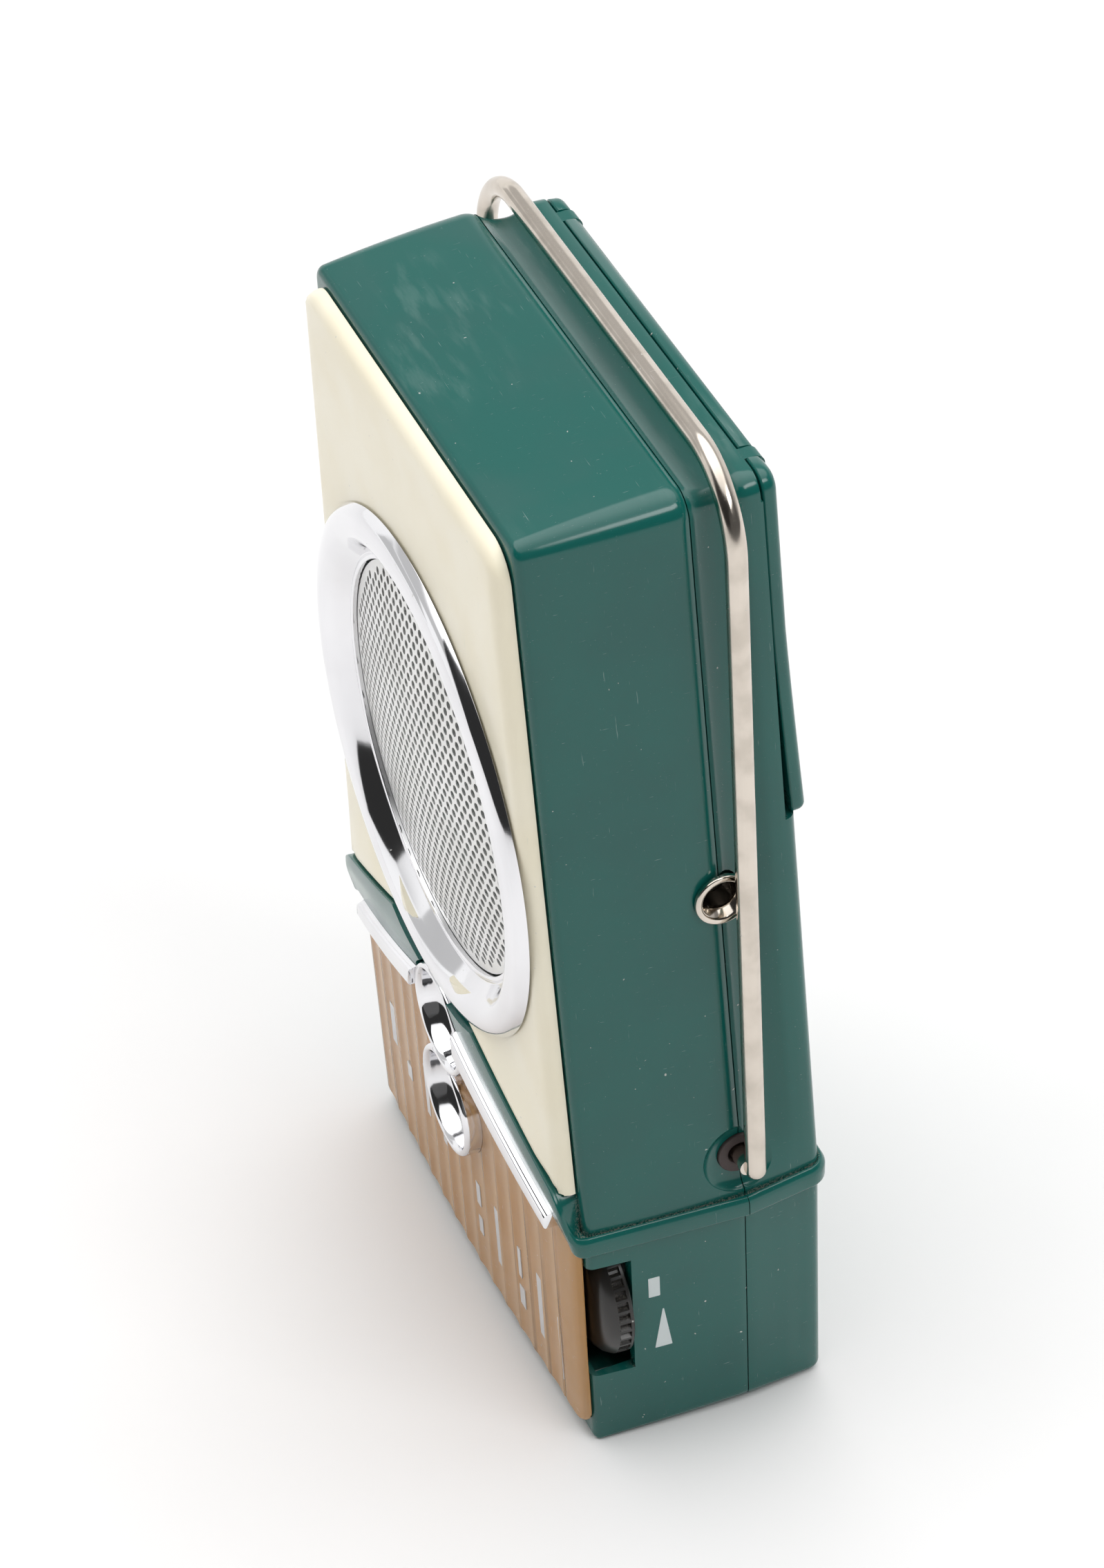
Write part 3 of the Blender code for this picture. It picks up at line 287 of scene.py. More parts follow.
def flute_stripes(tree, place):
    """Flute stripes: a broad gold stripe, a paler flank and a thin dark line to each, then a plain band.

    The gold and its streaks are the paint's own colour; the paler flank is painted light and the dark line
    painted shade, in step with the lens's flutes.
    """
    across = node(tree, "ShaderNodeSeparateXYZ", {0: place}).outputs["X"]
    turns = sums(tree, "FRACT", sums(tree, "DIVIDE", sums(tree, "ADD", across, 0.1), FLUTE_PITCH * MM))
    # The paler flank and the dark line are painted light and painted shade on the flutes.
    pale = stepped(tree, turns, 0.35, 0.75)
    line = times(tree, stepped(tree, turns, 0.86, 0.93), stepped(tree, turns, 1.0, 0.95))
    striped = mixed(tree, times(tree, pale, 0.75), (0.45, 0.215, 0.055), (0.60, 0.36, 0.15))
    striped = mixed(tree, times(tree, line, 0.75), striped, (0.17, 0.08, 0.03))
    streaks = noise(tree, place, 700, 3, (1, 1, 0.03))
    striped = mixed(tree, times(tree, streaks, 0.20), striped, (0.60, 0.38, 0.20))
    plain = stepped(tree, across, (FLUTE_END - 0.4) * MM, (FLUTE_END + 0.4) * MM)
    return mixed(tree, plain, striped, (0.46, 0.235, 0.065))


def copper_traces(tree, place):
    """A brown board, paler in patches, with the shadow of its tracks showing through."""
    tracks = stepped(tree, noise(tree, place, 160, 0), 0.49, 0.51)
    return mixed(tree, times(tree, tracks, 0.5), (0.30, 0.16, 0.055), (0.20, 0.11, 0.045))


def windings(tree, place):
    """Turns of fine wire side by side along X: painted light on each turn and painted shade between them."""
    turns = {"Vector": place, "Scale": 700, "Distortion": 0.4}
    wave = node(tree, "ShaderNodeTexWave", turns, bands_direction="X")
    return mixed(tree, wave.outputs["Fac"], (0.20, 0.06, 0.02), (0.60, 0.26, 0.10))


def finishes():
    # A corner colour paler than its piece is dirt. The cream's tan one, and the darker ones of the chrome,
    # grille and white plastic, are painted shade in the corners.
    rows = {
        "green_plastic": (
            (0.004, 0.100, 0.084), (0.006, 0.088, 0.076), 0.19, 0.0,
            dict(bump=0.04, wear=0.3, specks=0.25, dust=0.6, scuffs=0.11, IOR=1.48),
        ),
        "cream_plastic": (
            (0.90, 0.845, 0.68), (0.87, 0.80, 0.61), 0.32, 0.0,
            dict(bump=0.04, wear=0.15, specks=0.2, dust=0.5, dust_colour=(0.35, 0.27, 0.16)),
        ),
        "chrome": (
            (0.82, 0.82, 0.84), (0.74, 0.74, 0.76), 0.09, 1.0,
            dict(spread=0.06, bump=0.03, wear=0.3, specks=0.3, dust=0.5, dust_colour=(0.20, 0.18, 0.16)),
        ),
        "nickel_wire": (
            (0.66, 0.60, 0.53), (0.50, 0.45, 0.39), 0.17, 1.0,
            dict(spread=0.10, blotch=220, bump=0.08, wear=0.5, specks=0.4),
        ),
        "silver_grille": (
            (0.80, 0.80, 0.79), (0.70, 0.70, 0.68), 0.38, 0.7,
            dict(bump=0.10, dust=0.4, dust_colour=(0.25, 0.22, 0.18)),
        ),
        "brown_lens": (
            (0.55, 0.37, 0.19), (0.52, 0.31, 0.15), 0.22, 0.0,
            dict(
                spread=0.05, bump=0.02, wear=0.25, specks=0.4, pattern=flute_stripes, Alpha=0.9,
                Specular_IOR_Level=0.32,
            ),
        ),
        "gold_dial": (
            (0.56, 0.39, 0.20), (0.50, 0.34, 0.18), 0.35, 0.4, dict(pattern=flute_stripes, bump=0.03)
        ),
        "silver_print": ((0.66, 0.66, 0.67), (0.56, 0.56, 0.57), 0.35, 0.5, dict(grain=3000, bump=0.1)),
        "white_print": ((0.62, 0.68, 0.68), (0.50, 0.57, 0.57), 0.5, 0.0, dict(grain=3000, bump=0.1)),
        "black_plastic": (
            (0.018, 0.017, 0.016), (0.036, 0.031, 0.028), 0.32, 0.0,
            dict(bump=0.08, wear=0.3, specks=0.4, dust=0.2),
        ),
        "white_plastic": ((0.80, 0.79, 0.74), (0.70, 0.68, 0.61), 0.4, 0.0, dict(bump=0.05, dust=0.3)),
        "brass": ((0.72, 0.50, 0.20), (0.50, 0.33, 0.13), 0.28, 1.0, dict(spread=0.2, blotch=300, wear=0.4)),
        "steel": ((0.56, 0.56, 0.57), (0.42, 0.41, 0.40), 0.32, 1.0, dict(spread=0.2, blotch=200, wear=0.4)),
        "aluminium_can": ((0.76, 0.77, 0.78), (0.62, 0.63, 0.64), 0.34, 1.0, dict(spread=0.15, wear=0.4)),
        "fibre_washer": (
            (0.060, 0.042, 0.040), (0.030, 0.024, 0.022), 0.7, 0.0, dict(grain=2500, bump=0.4, specks=0.8)
        ),
        "cone_paper": ((0.050, 0.048, 0.045), (0.026, 0.025, 0.024), 0.92, 0.0, dict(grain=2600, bump=0.5)),
        "board_phenolic": ((0.30, 0.16, 0.06), (0.34, 0.19, 0.08), 0.45, 0.0, dict(pattern=copper_traces)),
        "ferrite": ((0.045, 0.045, 0.050), (0.075, 0.070, 0.068), 0.5, 0.0, dict(grain=2600, bump=0.3)),
        "coil_wire": ((0.45, 0.18, 0.07), (0.30, 0.12, 0.05), 0.38, 0.0, dict(bump=0.2, pattern=windings)),
        "battery_sleeve": ((0.42, 0.045, 0.035), (0.34, 0.035, 0.03), 0.36, 0.0, dict(wear=0.3, dust=0.4)),
    }
    return {name: finish(name, *row[:-1], **row[-1]) for name, row in rows.items()}


# ---- mesh tools


def lofted(rings, closed=False):
    """A capped body through rings of equal count. closed joins the last ring to the first one instead."""
    bm = bmesh.new()
    rows = [[bm.verts.new(point) for point in ring] for ring in rings]
    pairs = list(zip(rows, rows[1:])) + ([(rows[-1], rows[0])] if closed else [])
    for near, far in pairs:
        for i in range(len(near)):
            j = (i + 1) % len(near)
            bm.faces.new((near[i], near[j], far[j], far[i]))
    if not closed:
        bm.faces.new(list(reversed(rows[0])))
        bm.faces.new(rows[-1])
    return bm


def revolved(profile, centre, axis, steps=96):
    """A closed profile of (radius, height) turned about the axis through centre."""
    turn = Z.rotation_difference(axis).to_matrix()
    rings = []
    for i in range(steps):
        a = 2 * pi * i / steps
        spin = [Vector((r * cos(a), r * sin(a), h)) for r, h in profile]
        rings.append([Vector(centre) + turn @ point for point in spin])
    bm = lofted(rings, closed=True)
    bmesh.ops.remove_doubles(bm, verts=bm.verts, dist=0.0005)
    return bm


def block(low, high):
    """A plain box, for cutting and joining."""
    bm = bmesh.new()
    bmesh.ops.create_cube(bm, size=1)
    low, high = Vector(low), Vector(high)
    bmesh.ops.scale(bm, vec=high - low, verts=bm.verts)
    bmesh.ops.translate(bm, vec=(low + high) / 2, verts=bm.verts)
    return bm


def drum(centre, radius, length, axis, steps=64):
    """A plain cylinder, for cutting and joining."""
    half = length / 2
    return revolved([(0, half), (radius, half), (radius, -half), (0, -half)], centre, axis, steps)


def rounded(corners, radii, steps=4):
    """Points round a closed polygon, each corner eased by its own radius."""
    if not isinstance(radii, (list, tuple)):
        radii = [radii] * len(corners)
    corners = [Vector(c) for c in corners]
    points = []
    for i, (corner, radius) in enumerate(zip(corners, radii)):
        if not radius:
            points.append(corner)
            continue
        before, after = corners[i - 1], corners[(i + 1) % len(corners)]
        reach = min(radius, (before - corner).length * 0.49, (after - corner).length * 0.49)
        start = corner + (before - corner).normalized() * reach
        end = corner + (after - corner).normalized() * reach
        for k in range(steps + 1):
            t = k / steps
            points.append(start * (1 - t) ** 2 + corner * 2 * t * (1 - t) + end * t**2)
    return [tuple(p) for p in points]


def smoothly(knots, count):
    """count rows read from a Catmull-Rom curve through the knots, each a tuple of numbers."""
    knots = [Vector(k) for k in knots]
    rows = []
    for i in range(count):
        place = i / (count - 1) * (len(knots) - 1)
        k = min(int(place), len(knots) - 2)
        t = place - k
        a, b = knots[max(k - 1, 0)], knots[k]
        c, d = knots[k + 1], knots[min(k + 2, len(knots) - 1)]
        square, cube = 2 * a - 5 * b + 4 * c - d, 3 * b - a - 3 * c + d
        rows.append(tuple((2 * b + (c - a) * t + square * t**2 + cube * t**3) / 2))
    return rows


def eased(value, low, high):
    """0 below low, 1 above high and smooth between."""
    t = min(max((value - low) / (high - low), 0), 1)
    return t * t * (3 - 2 * t)


def meshed(name, bm):
    mesh = bpy.data.meshes.new(name)
    bm.to_mesh(mesh)
    bm.free()
    return mesh


def gathered(pieces):
    """Several bodies as one."""
    whole = bmesh.new()
    for piece in pieces:
        mesh = meshed("piece", piece)
        whole.from_mesh(mesh)
        bpy.data.meshes.remove(mesh)
    return whole


def made(name, bm):
    """An object from a bmesh in millimetres."""
    bmesh.ops.recalc_face_normals(bm, faces=bm.faces)
    for vert in bm.verts:
        vert.co = at(*vert.co)
    return linked(name, meshed(name, bm))


def settled(obj):
    """Bakes the object's modifiers into its mesh."""
    bpy.context.view_layer.update()
    graph = bpy.context.evaluated_depsgraph_get()
    mesh = bpy.data.meshes.new_from_object(obj.evaluated_get(graph))
    obj.modifiers.clear()
    obj.data = mesh


def carved(obj, steps):
    """Runs (operation, bmesh) steps on obj."""
    helpers = []
    for i, (operation, bm) in enumerate(steps):
        helper = made(f"helper_{i}", bm)
        step = obj.modifiers.new("step", "BOOLEAN")
        step.object = helper
        step.operation = operation
        helpers.append(helper)
    settled(obj)
    for helper in helpers:
        bpy.data.objects.remove(helper)


def cut(*shapes):
    return [("DIFFERENCE", bm) for bm in shapes]


def joined(*shapes):
    return [("UNION", bm) for bm in shapes]


def eased_edges(obj, width, angle=40):
    """Rounds every edge that turns by more than angle."""
    rounding = obj.modifiers.new("rounding", "BEVEL")
    rounding.width = width * MM
    rounding.segments = 2
    rounding.limit_method = "ANGLE"
    rounding.angle_limit = radians(angle)
    rounding.miter_outer = "MITER_ARC"
    settled(obj)


def placed(obj, look, nodes=(), body="case", angle=35):
    """Finishes a piece: smooth shading, material, body, and the CAD nodes that it stands for."""
    obj.data.materials.clear()
    obj.data.materials.append(LOOKS[look])
    obj.data.shade_smooth()
    obj.data.set_sharp_from_angle(angle=radians(angle))
    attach(obj, body)
    if nodes:
        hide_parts(*nodes)


# ---- case outline


def half_width(z):
    """Half the case's width at the seam: it widens from the base to the belt and narrows to the top."""
    if z < BELT_Z:
        return HALF_BASE + (HALF_BELT - HALF_BASE) * z / BELT_Z
    return HALF_BELT + (HALF_TOP - HALF_BELT) * (z - BELT_Z) / (HEIGHT - BELT_Z)


def arc(centre, radius, start, end, count):
    angles = [radians(start + (end - start) * i / count) for i in range(count + 1)]
    return [(centre[0] + radius * cos(a), centre[1] + radius * sin(a)) for a in angles]


def outline(inset=0.0, lift=0.0, cove=0.0, foot=-FOOT_DROP, foot_radius=BASE_RADIUS):
    """The case in (x, z), anticlockwise from its foot. cove draws in its top and its sides above the belt."""
    low, high = foot + lift, HEIGHT - inset - cove
    lean = degrees(atan2(HALF_BELT - HALF_TOP, HEIGHT - BELT_Z))
    base = max(foot_radius - inset, 0.5)
    crown = max(TOP_RADIUS - inset - cove, 1.0)
    right = arc((half_width(low + base) - inset - base, low + base), base, -90, 0, 8)
    heights = [8 * i for i in range(1, 6)] + [BELT_Z, 45, 47, 50, 54] + [60 + 8 * i for i in range(12)]
    for z in heights:
        if low + base < z < high - crown - 2:
            right.append((half_width(z) - inset - cove * eased(z, BELT_Z, 58), z))
    centre_x = half_width(high - crown) - inset - cove - crown / cos(radians(lean))
    right += arc((centre_x, high - crown), crown, lean, 90, 12)
    return right + [(-x, z) for x, z in reversed(right)]


def ring_at(y, inset, lift=0.0, cove=0.0, **limits):
    return [Vector((x, y, z)) for x, z in outline(inset, lift, cove, **limits)]


def rolled(back_y, inset, radius, **limits):
    """The rings of an edge that rounds in over radius and ends at back_y."""
    rings = []
    for a in QUARTER:
        drawn = radius * (1 - cos(a))
        rings.append(ring_at(back_y - radius * (1 - sin(a)), inset + drawn, drawn, **limits))
    return rings


def post(x, z, near, far, radius, bore):
    """A screw post along Y with a blind bore in its rear end."""
    depth = min(7, far - near - 0.5)
    profile = [(0, near), (radius + 0.3, near), (radius, far - 0.3), (radius - 0.3, far)]
    profile += [(bore, far), (bore, far - depth), (0, far - depth)]
    return revolved(profile, (x, 0, z), Y, 32)


# ---- belt and lip


def edge_at(edge, x):
    """The (y, z) of an edge of the V at x: it bows forward and slopes down from the middle."""
    bulge = 1 - (x / LIP_BULGE_HALF) ** 2
    return edge["y"] - edge["bulge"] * bulge, edge["z"] + edge["slope"] * (LIP_HALF - abs(x))


def lip_edge(name, x):
    """The (y, z) of one of the lip's edges: near its end it rolls back and falls to the side band."""
    y, z = edge_at(LIP_EDGES[name], x)
    over = min(max(abs(x) - (LIP_END - LIP_ROLL), 0) / LIP_ROLL, 1)
    fall = (max(abs(x) - LIP_DROP_START, 0) / (LIP_END - LIP_DROP_START)) ** 2
    return y + LIP_ROLL * (1 - sqrt(1 - over**2)), z + fall * (LIP_EDGES[name]["end_z"] - z)


def belt_section(nose, outward, edges=BELT_EDGES, deep=BELT_DEEP, gutter=BELT_GUTTER):
    """The belt across one station.

    nose is its outermost point in plan, edges the (inward, z) of its upper edge, nose and lower edge, deep
    how far it reaches in, and gutter the depth of the channel behind its rim.
    """
    (upper_in, upper_z), nose_edge, (lower_in, lower_z) = edges
    floor_z = upper_z - gutter
    rim = upper_in + 0.45
    corners = [(deep, floor_z), (rim + 0.25, floor_z), (rim, upper_z - 0.15 * gutter), (upper_in, upper_z)]
    corners += [nose_edge, (lower_in, lower_z), (deep, lower_z)]
    points = rounded(corners, [0, 0.25, 0.15, 0.45, 0.9, 0.45, 0], 4)
    inward = -Vector(outward).normalized()
    return [Vector((nose[0], nose[1], 0)) + Vector((*(inward * a), z)) for a, z in points]


def front_belt():
    """Half the front shell's belt: from the middle of the V, round the corner and back to the seam.

    Round the corner the V's edges blend into the side's.
    """
    stations = []
    corner_x = LIP_END - LIP_ROLL
    xs = [corner_x * i / 24 for i in range(25)]
    xs += [corner_x + LIP_ROLL * sin(radians(6 * i)) for i in range(1, 16)]
    for x in xs:
        over = min(max(x - corner_x, 0) / LIP_ROLL, 1)
        angle = asin(over)
        nose_y = lip_edge("nose", x)[0]
        blend = eased(over, 0.2, 1.0)
        edges = []
        for name, (side_in, side_z) in zip(LIP_EDGES, BELT_EDGES):
            front_in = edge_at(LIP_EDGES[name], x)[0] - edge_at(LIP_EDGES["nose"], x)[0]
            front_z = lip_edge(name, x)[1]
            edges.append((front_in + (side_in - front_in) * blend, front_z + (side_z - front_z) * blend))
        deep = (1.2 - nose_y) * (1 - over) + BELT_DEEP * over
        outward = (sin(angle), -cos(angle))
        stations.append(belt_section((x, nose_y), outward, edges, deep, 0.1 + 0.6 * blend))
    start = Vector((LIP_END, lip_edge("nose", LIP_END)[0]))
    end = Vector((half_width(BELT_Z) + BELT_PROUD, SEAM_Y - SEAM_GAP / 2))
    stations += [belt_section(start.lerp(end, i / 8), (1, -0.05)) for i in range(1, 9)]
    return stations


def rear_belt():
    """Half the rear shell's belt: from the seam round the rear corner to the middle of the back."""
    half = half_width(BELT_Z) + BELT_PROUD
    back = BACK_Y + 0.8 * BELT_PROUD
    radius = 3.6
    corner = Vector((half - 1.3 - radius, back - radius))
    start, end = Vector((half, SEAM_Y + SEAM_GAP / 2)), Vector((corner.x + radius, corner.y))
    stations = [belt_section(start.lerp(end, i / 6), (1, 0.1)) for i in range(7)]
    for i in range(1, 13):
        a = radians(90 * i / 12)
        outward = (cos(a), sin(a))
        stations.append(belt_section(corner + Vector(outward) * radius, outward))
    return stations + [belt_section((0, back), (0, 1))]


def both_sides(stations):
    """A half belt and its mirror image as one body. The middle station isn't doubled."""
    left = [[Vector((-p.x, p.y, p.z)) for p in station] for station in stations]
    if abs(stations[0][0].x) < 0.001:
        return lofted(list(reversed(left[1:])) + stations)
    return lofted(stations + list(reversed(left[:-1])))


def dishes():
    """The shallow dish and the bush's bore at each pivot."""
    depth, rim_height, bore = 1.2, 0.25, 3.4
    profile = [(0, 3), (DISH_RADIUS + 0.5, 3)]
    for i in range(13):
        t = i / 12
        fall = (depth + rim_height) * sin(t * pi / 2)
        profile.append((DISH_RADIUS + 0.35 - 2.75 * t**1.5, rim_height - fall))
    profile.append((0, -depth))
    shapes = []
    for side in (-1, 1):
        centre = (side * half_width(PIVOT_Z), SEAM_Y, PIVOT_Z)
        shapes += [revolved(profile, centre, X * side, 72), drum(centre, bore, 12, X, 48)]
    return shapes


def jack_bore():
    return drum((half_width(JACK_Z), SEAM_Y, JACK_Z), 3.3, 12, X, 48)


# ---- shells


def front_inset(y):
    """How far the front shell's wall stands in at y: a slightly bellied draft that ends at the seam."""
    t = y / SEAM_Y
    return FRONT_DRAFT * (1 - t) - 1.2 * t * (1 - t)


def front_shell():
    """The front shell: its rim and its edge at the seam are rolled."""
    radius, roll_start, last = 1.15, 21.6, SEAM_Y - SEAM_GAP / 2
    rings = []
    for a in QUARTER:
        y, extra = radius * (1 - cos(a)), radius * (1 - sin(a))
        rings.append(ring_at(y, front_inset(y) + extra, extra))
    for i in range(1, 9):
        y = radius + (roll_start - radius) * i / 8
        rings.append(ring_at(y, front_inset(y)))
    for i in range(1, 7):
        t = i / 6
        y = roll_start + (last - roll_start) * t
        rings.append(ring_at(y, front_inset(y) + 0.15 * t**4, 0, SEAM_ROLL * t**2.2))
    shell = made("front_case_shell", lofted(rings))
    cavity = lofted([ring_at(2.2, FRONT_DRAFT + WALL), ring_at(last + 2, WALL + 0.4, WALL)])
    cavity_low = [v for v in cavity.verts if v.co.y < 3 and v.co.z < 3]
    bmesh.ops.translate(cavity, vec=(0, 0, WALL), verts=cavity_low)
    half, foot, top = DIAL_HOLE
    notches = []
    low, high = NOTCH_Z
    for side in (1, -1):
        ends, pocket = sorted((30 * side, 50 * side)), sorted(x * side for x in POCKET_X)
        notches.append(block((ends[0], -3, low), (ends[1], NOTCH_BACK_Y, high)))
        low_corner = (pocket[0], POCKET_Y[0], low - POCKET_SPARE)
        notches.append(block(low_corner, (pocket[1], POCKET_Y[1], high + POCKET_SPARE)))
    posts = [post(x, z, 1.6, BOARD_Y - GAP, 3.0, 1.1) for x, z in BOARD_POSTS]
    posts += [post(x, z, 1.6, last - 0.2, 3.9, 1.2) for x, z in CASE_SCREWS]
    carved(
        shell,
        joined(both_sides(front_belt()))
        + cut(
            drum((0, PANEL_Y - 6, SPEAKER_Z), BEZEL_RADIUS + GAP, 12, Y, 96),
            drum((0, -6.2, RING_Z["upper"]), RING_RADIUS + GAP, 12, Y, 64),
            drum((0, -6, SPEAKER_Z), PANEL_HOLE, 12, Y, 96),
            cavity,
            drum((0, 0, SPEAKER_Z), SPEAKER_HOLE, 10, Y, 96),
            block((-half, -1, foot), (half, 4, top)),
        )
        + joined(*posts)
        + cut(*notches, *dishes(), jack_bore()),
    )
    eased_edges(shell, 0.18)
    placed(shell, "green_plastic", ["front_case"])


def rear_shell():
    """The rear shell, with the bail's cove behind the seam and the battery bay in its back."""
    start = SEAM_Y + SEAM_GAP / 2
    # The cove's section: distance behind the seam, inset, and depth of the cove.
    knots = [
        (0, 0.1, SEAM_ROLL), (1.2, 0.12, 1.35), (3.0, 0.3, COVE_DEPTH), (5.0, 0.5, 1.55), (6.8, 0.65, 0.8),
        (8.2, 0.85, 0.15), (10.0, 1.05, 0.0),
    ]
    rings = [ring_at(start + dy, inset, 0, max(cove, 0)) for dy, inset, cove in smoothly(knots, 22)]
    rings += rolled(BACK_Y, 1.15, 1.9)
    shell = made("rear_case_shell", lofted(rings))
    inner = WALL + 2.0
    cavity = lofted([ring_at(start - 2, inner, WALL), ring_at(BACK_Y - 2.0, inner + 0.4, WALL)])
    seat = block((-60, COVER_FRONT_Y - 0.12, COVER_FOOT_Z - 0.25), (60, 50, 170))
    groove = block((-35, COVER_SEAT_Y - 0.5, HINGE_Z - 2), (35, 50, HINGE_Z + 0.6))
    relief = block((-60, COVER_SEAT_Y - 0.15, HINGE_Z - 1.7), (60, 50, 170))
    bay_frame = block((-34, 32, 103), (34, COVER_SEAT_Y, 151))
    ears = []
    for side in (-1, 1):
        x = side * HINGE_EARS_X
        ears.append(block((x - 1.2, 32.9, HINGE_Z - 1.3), (x + 1.2, HINGE_Y, HINGE_Z + KNUCKLE)))
        ears.append(drum((x, HINGE_Y, HINGE_Z), KNUCKLE, 2.4, X, 48))
    bosses, wells = [], []
    boss_end = BACK_Y - 1.4
    for x, z in CASE_SCREWS:
        bosses.append(drum((x, (start + boss_end) / 2, z), 4.0, boss_end - start - 0.3, Y, 40))
        wells += [drum((x, BACK_Y, z), 3.2, 3.0, Y, 40), drum((x, 29, z), 1.4, 14, Y, 24)]
    carved(
        shell,
        joined(both_sides(rear_belt()))
        + cut(cavity, seat, groove, relief)
        + joined(bay_frame)
        + cut(block((-BAY_HALF, 28, BAY_LOW), (BAY_HALF, 50, BAY_HIGH)))
        + joined(*ears, *bosses)
        + cut(drum((0, HINGE_Y, HINGE_Z), 0.75, 64, X, 24), *wells, *dishes(), jack_bore()),
    )
    eased_edges(shell, 0.18)
    placed(shell, "green_plastic", ["rear_case"])


def cover():
    """The battery door: flat above its knee, and sprung a little away from the case below it."""
    limits = {"foot": COVER_FOOT_Z, "foot_radius": 2.6}
    rings = [ring_at(COVER_FRONT_Y, 1.45, 0.2, **limits), ring_at(COVER_FRONT_Y + 0.25, 1.25, 0, **limits)]
    bm = lofted(rings + rolled(COVER_BACK_Y, 1.35, 1.3, **limits))
    for z in (110, 115, 120, 125, 130, COVER_KNEE_Z):
        everything = bm.verts[:] + bm.edges[:] + bm.faces[:]
        bmesh.ops.bisect_plane(bm, geom=everything, plane_co=(0, 0, z), plane_no=Z)
    for vert in bm.verts:
        vert.co.y += sprung(vert.co.z)
    door = made("battery_cover_door", bm)
    slots = []
    for side in (-1, 1):
        x = side * HINGE_EARS_X
        slots.append(block((x - 1.35, 30, HINGE_Z - KNUCKLE - 0.1), (x + 1.35, 40, HINGE_Z + 6)))
    # Grip ribs near the foot, where a thumb pulls the door open.
    ribs = [rib_bar(108.2 + 1.6 * i) for i in range(5)]
    carved(
        door,
        joined(block((-8, 32.4, BAY_LOW + 0.5), (8, 36.4, BAY_LOW + 2.0)), *ribs)
        + cut(*slots, drum((0, HINGE_Y, HINGE_Z), 0.75, 66, X, 24)),
    )
    eased_edges(door, 0.15)
    placed(door, "green_plastic", ["battery_cover"], "battery_door")


def sprung(z):
    """How far the door stands back at z: not at all above its knee, and more towards its foot."""
    drop = max(COVER_KNEE_Z - z, 0) / (COVER_KNEE_Z - COVER_FOOT_Z)
    return COVER_FLARE * drop**1.2


def rib_bar(z):
    """A low rounded bar across the foot of the door."""
    y = COVER_BACK_Y + sprung(z)
    corners = [(y - 0.6, z - 0.45), (y + 0.07, z - 0.3), (y + 0.07, z + 0.3), (y - 0.6, z + 0.45)]
    section = rounded(corners, 0.2, 3)
    return lofted([[Vector((x, a, b)) for a, b in section] for x in (-9, 9)])


# ---- front panel and trim


def spaced(low, high, count, edge):
    """count + 1 values from low to high, closer together within edge of both ends."""
    ends = [edge * (1 - cos(a)) for a in QUARTER]
    middle = count - 12
    values = [low + end for end in ends]
    values += [low + edge + (high - low - 2 * edge) * i / middle for i in range(1, middle)]
    return values + [high - end for end in reversed(ends)]


def panel_top(x):
    """The panel's upper edge at x, round at its corners."""
    top, radius = HEIGHT - PANEL_INSET, 5.4
    over = abs(x) - (half_width(top - radius) - PANEL_INSET - radius)
    return top - (radius - sqrt(max(radius**2 - min(max(over, 0), radius) ** 2, 0)))


def panel_foot(x):
    """The panel's lower edge at x: just above the lip, round at its ends."""
    half, corner = half_width(50) - PANEL_INSET, 3.0
    over = min(max(abs(x) - (half - corner), 0) / corner, 1)
    lip_z = lip_edge("upper", min(abs(x), PANEL_LIP_X))[1]
    return lip_z + GAP + 0.9 * (1 - sqrt(1 - over**2)) - 0.8 * over


def front_panel():
    """A plate whose edges roll back to the case and whose foot flares forward to the lip."""
    us = [2 * u - 1 for u in spaced(0, 1, 76, 0.05)]
    vs = spaced(0, 1, 64, 0.05)
    roll = -PANEL_Y - GAP
    full_reach = 2.4
    front, back = [], []
    for v in vs:
        front_row, back_row = [], []
        for u in us:
            z_guess = 50 + (HEIGHT - 55) * v
            for _ in range(4):
                x = u * (half_width(min(max(z_guess, 50), HEIGHT - 3)) - PANEL_INSET)
                low, high = panel_foot(x), panel_top(x)
                z_guess = low + (high - low) * v
            side = (1 - abs(u)) * (half_width(z_guess) - PANEL_INSET)
            back_by = 0
            for distance, reach in ((side, 2.6), (high - z_guess, 2.1), (z_guess - low, 0.9)):
                if distance < reach:
                    fall = 1 - sqrt(1 - (1 - distance / reach) ** 2)
                    back_by = max(back_by, roll * min(reach / full_reach, 1) * fall)
            lip_y = lip_edge("upper", min(abs(x), PANEL_LIP_X))[0] + 0.3
            flare = max(PANEL_Y - lip_y, 0) * (1 - eased(z_guess - low, 0, 11)) * eased(side, 0, 7)
            front_row.append(Vector((x, min(PANEL_Y + back_by - flare, -GAP - 0.02), z_guess)))
            back_row.append(Vector((x, -GAP, z_guess)))
        front.append(front_row)
        back.append(back_row)
    bm = bmesh.new()
    layers = [[[bm.verts.new(p) for p in row] for row in layer] for layer in (front, back)]
    rows, columns = len(vs), len(us)
    for face, flip in ((layers[0], 1), (layers[1], -1)):
        for j in range(rows - 1):
            for i in range(columns - 1):
                quad = (face[j][i], face[j][i + 1], face[j + 1][i + 1], face[j + 1][i])
                bm.faces.new(quad[::flip])
    rim = [(0, i) for i in range(columns)]
    rim += [(j, columns - 1) for j in range(1, rows)]
    rim += [(rows - 1, i) for i in range(columns - 2, -1, -1)]
    rim += [(j, 0) for j in range(rows - 2, 0, -1)]
    for (j0, i0), (j1, i1) in zip(rim, rim[1:] + rim[:1]):
        bm.faces.new((layers[0][j0][i0], layers[1][j0][i0], layers[1][j1][i1], layers[0][j1][i1]))
    panel = made("front_panel_plate", bm)
    carved(panel, cut(drum((0, 0, SPEAKER_Z), PANEL_HOLE, 16, Y, 128)))
    placed(panel, "cream_plastic", ["front_panel"], angle=40)


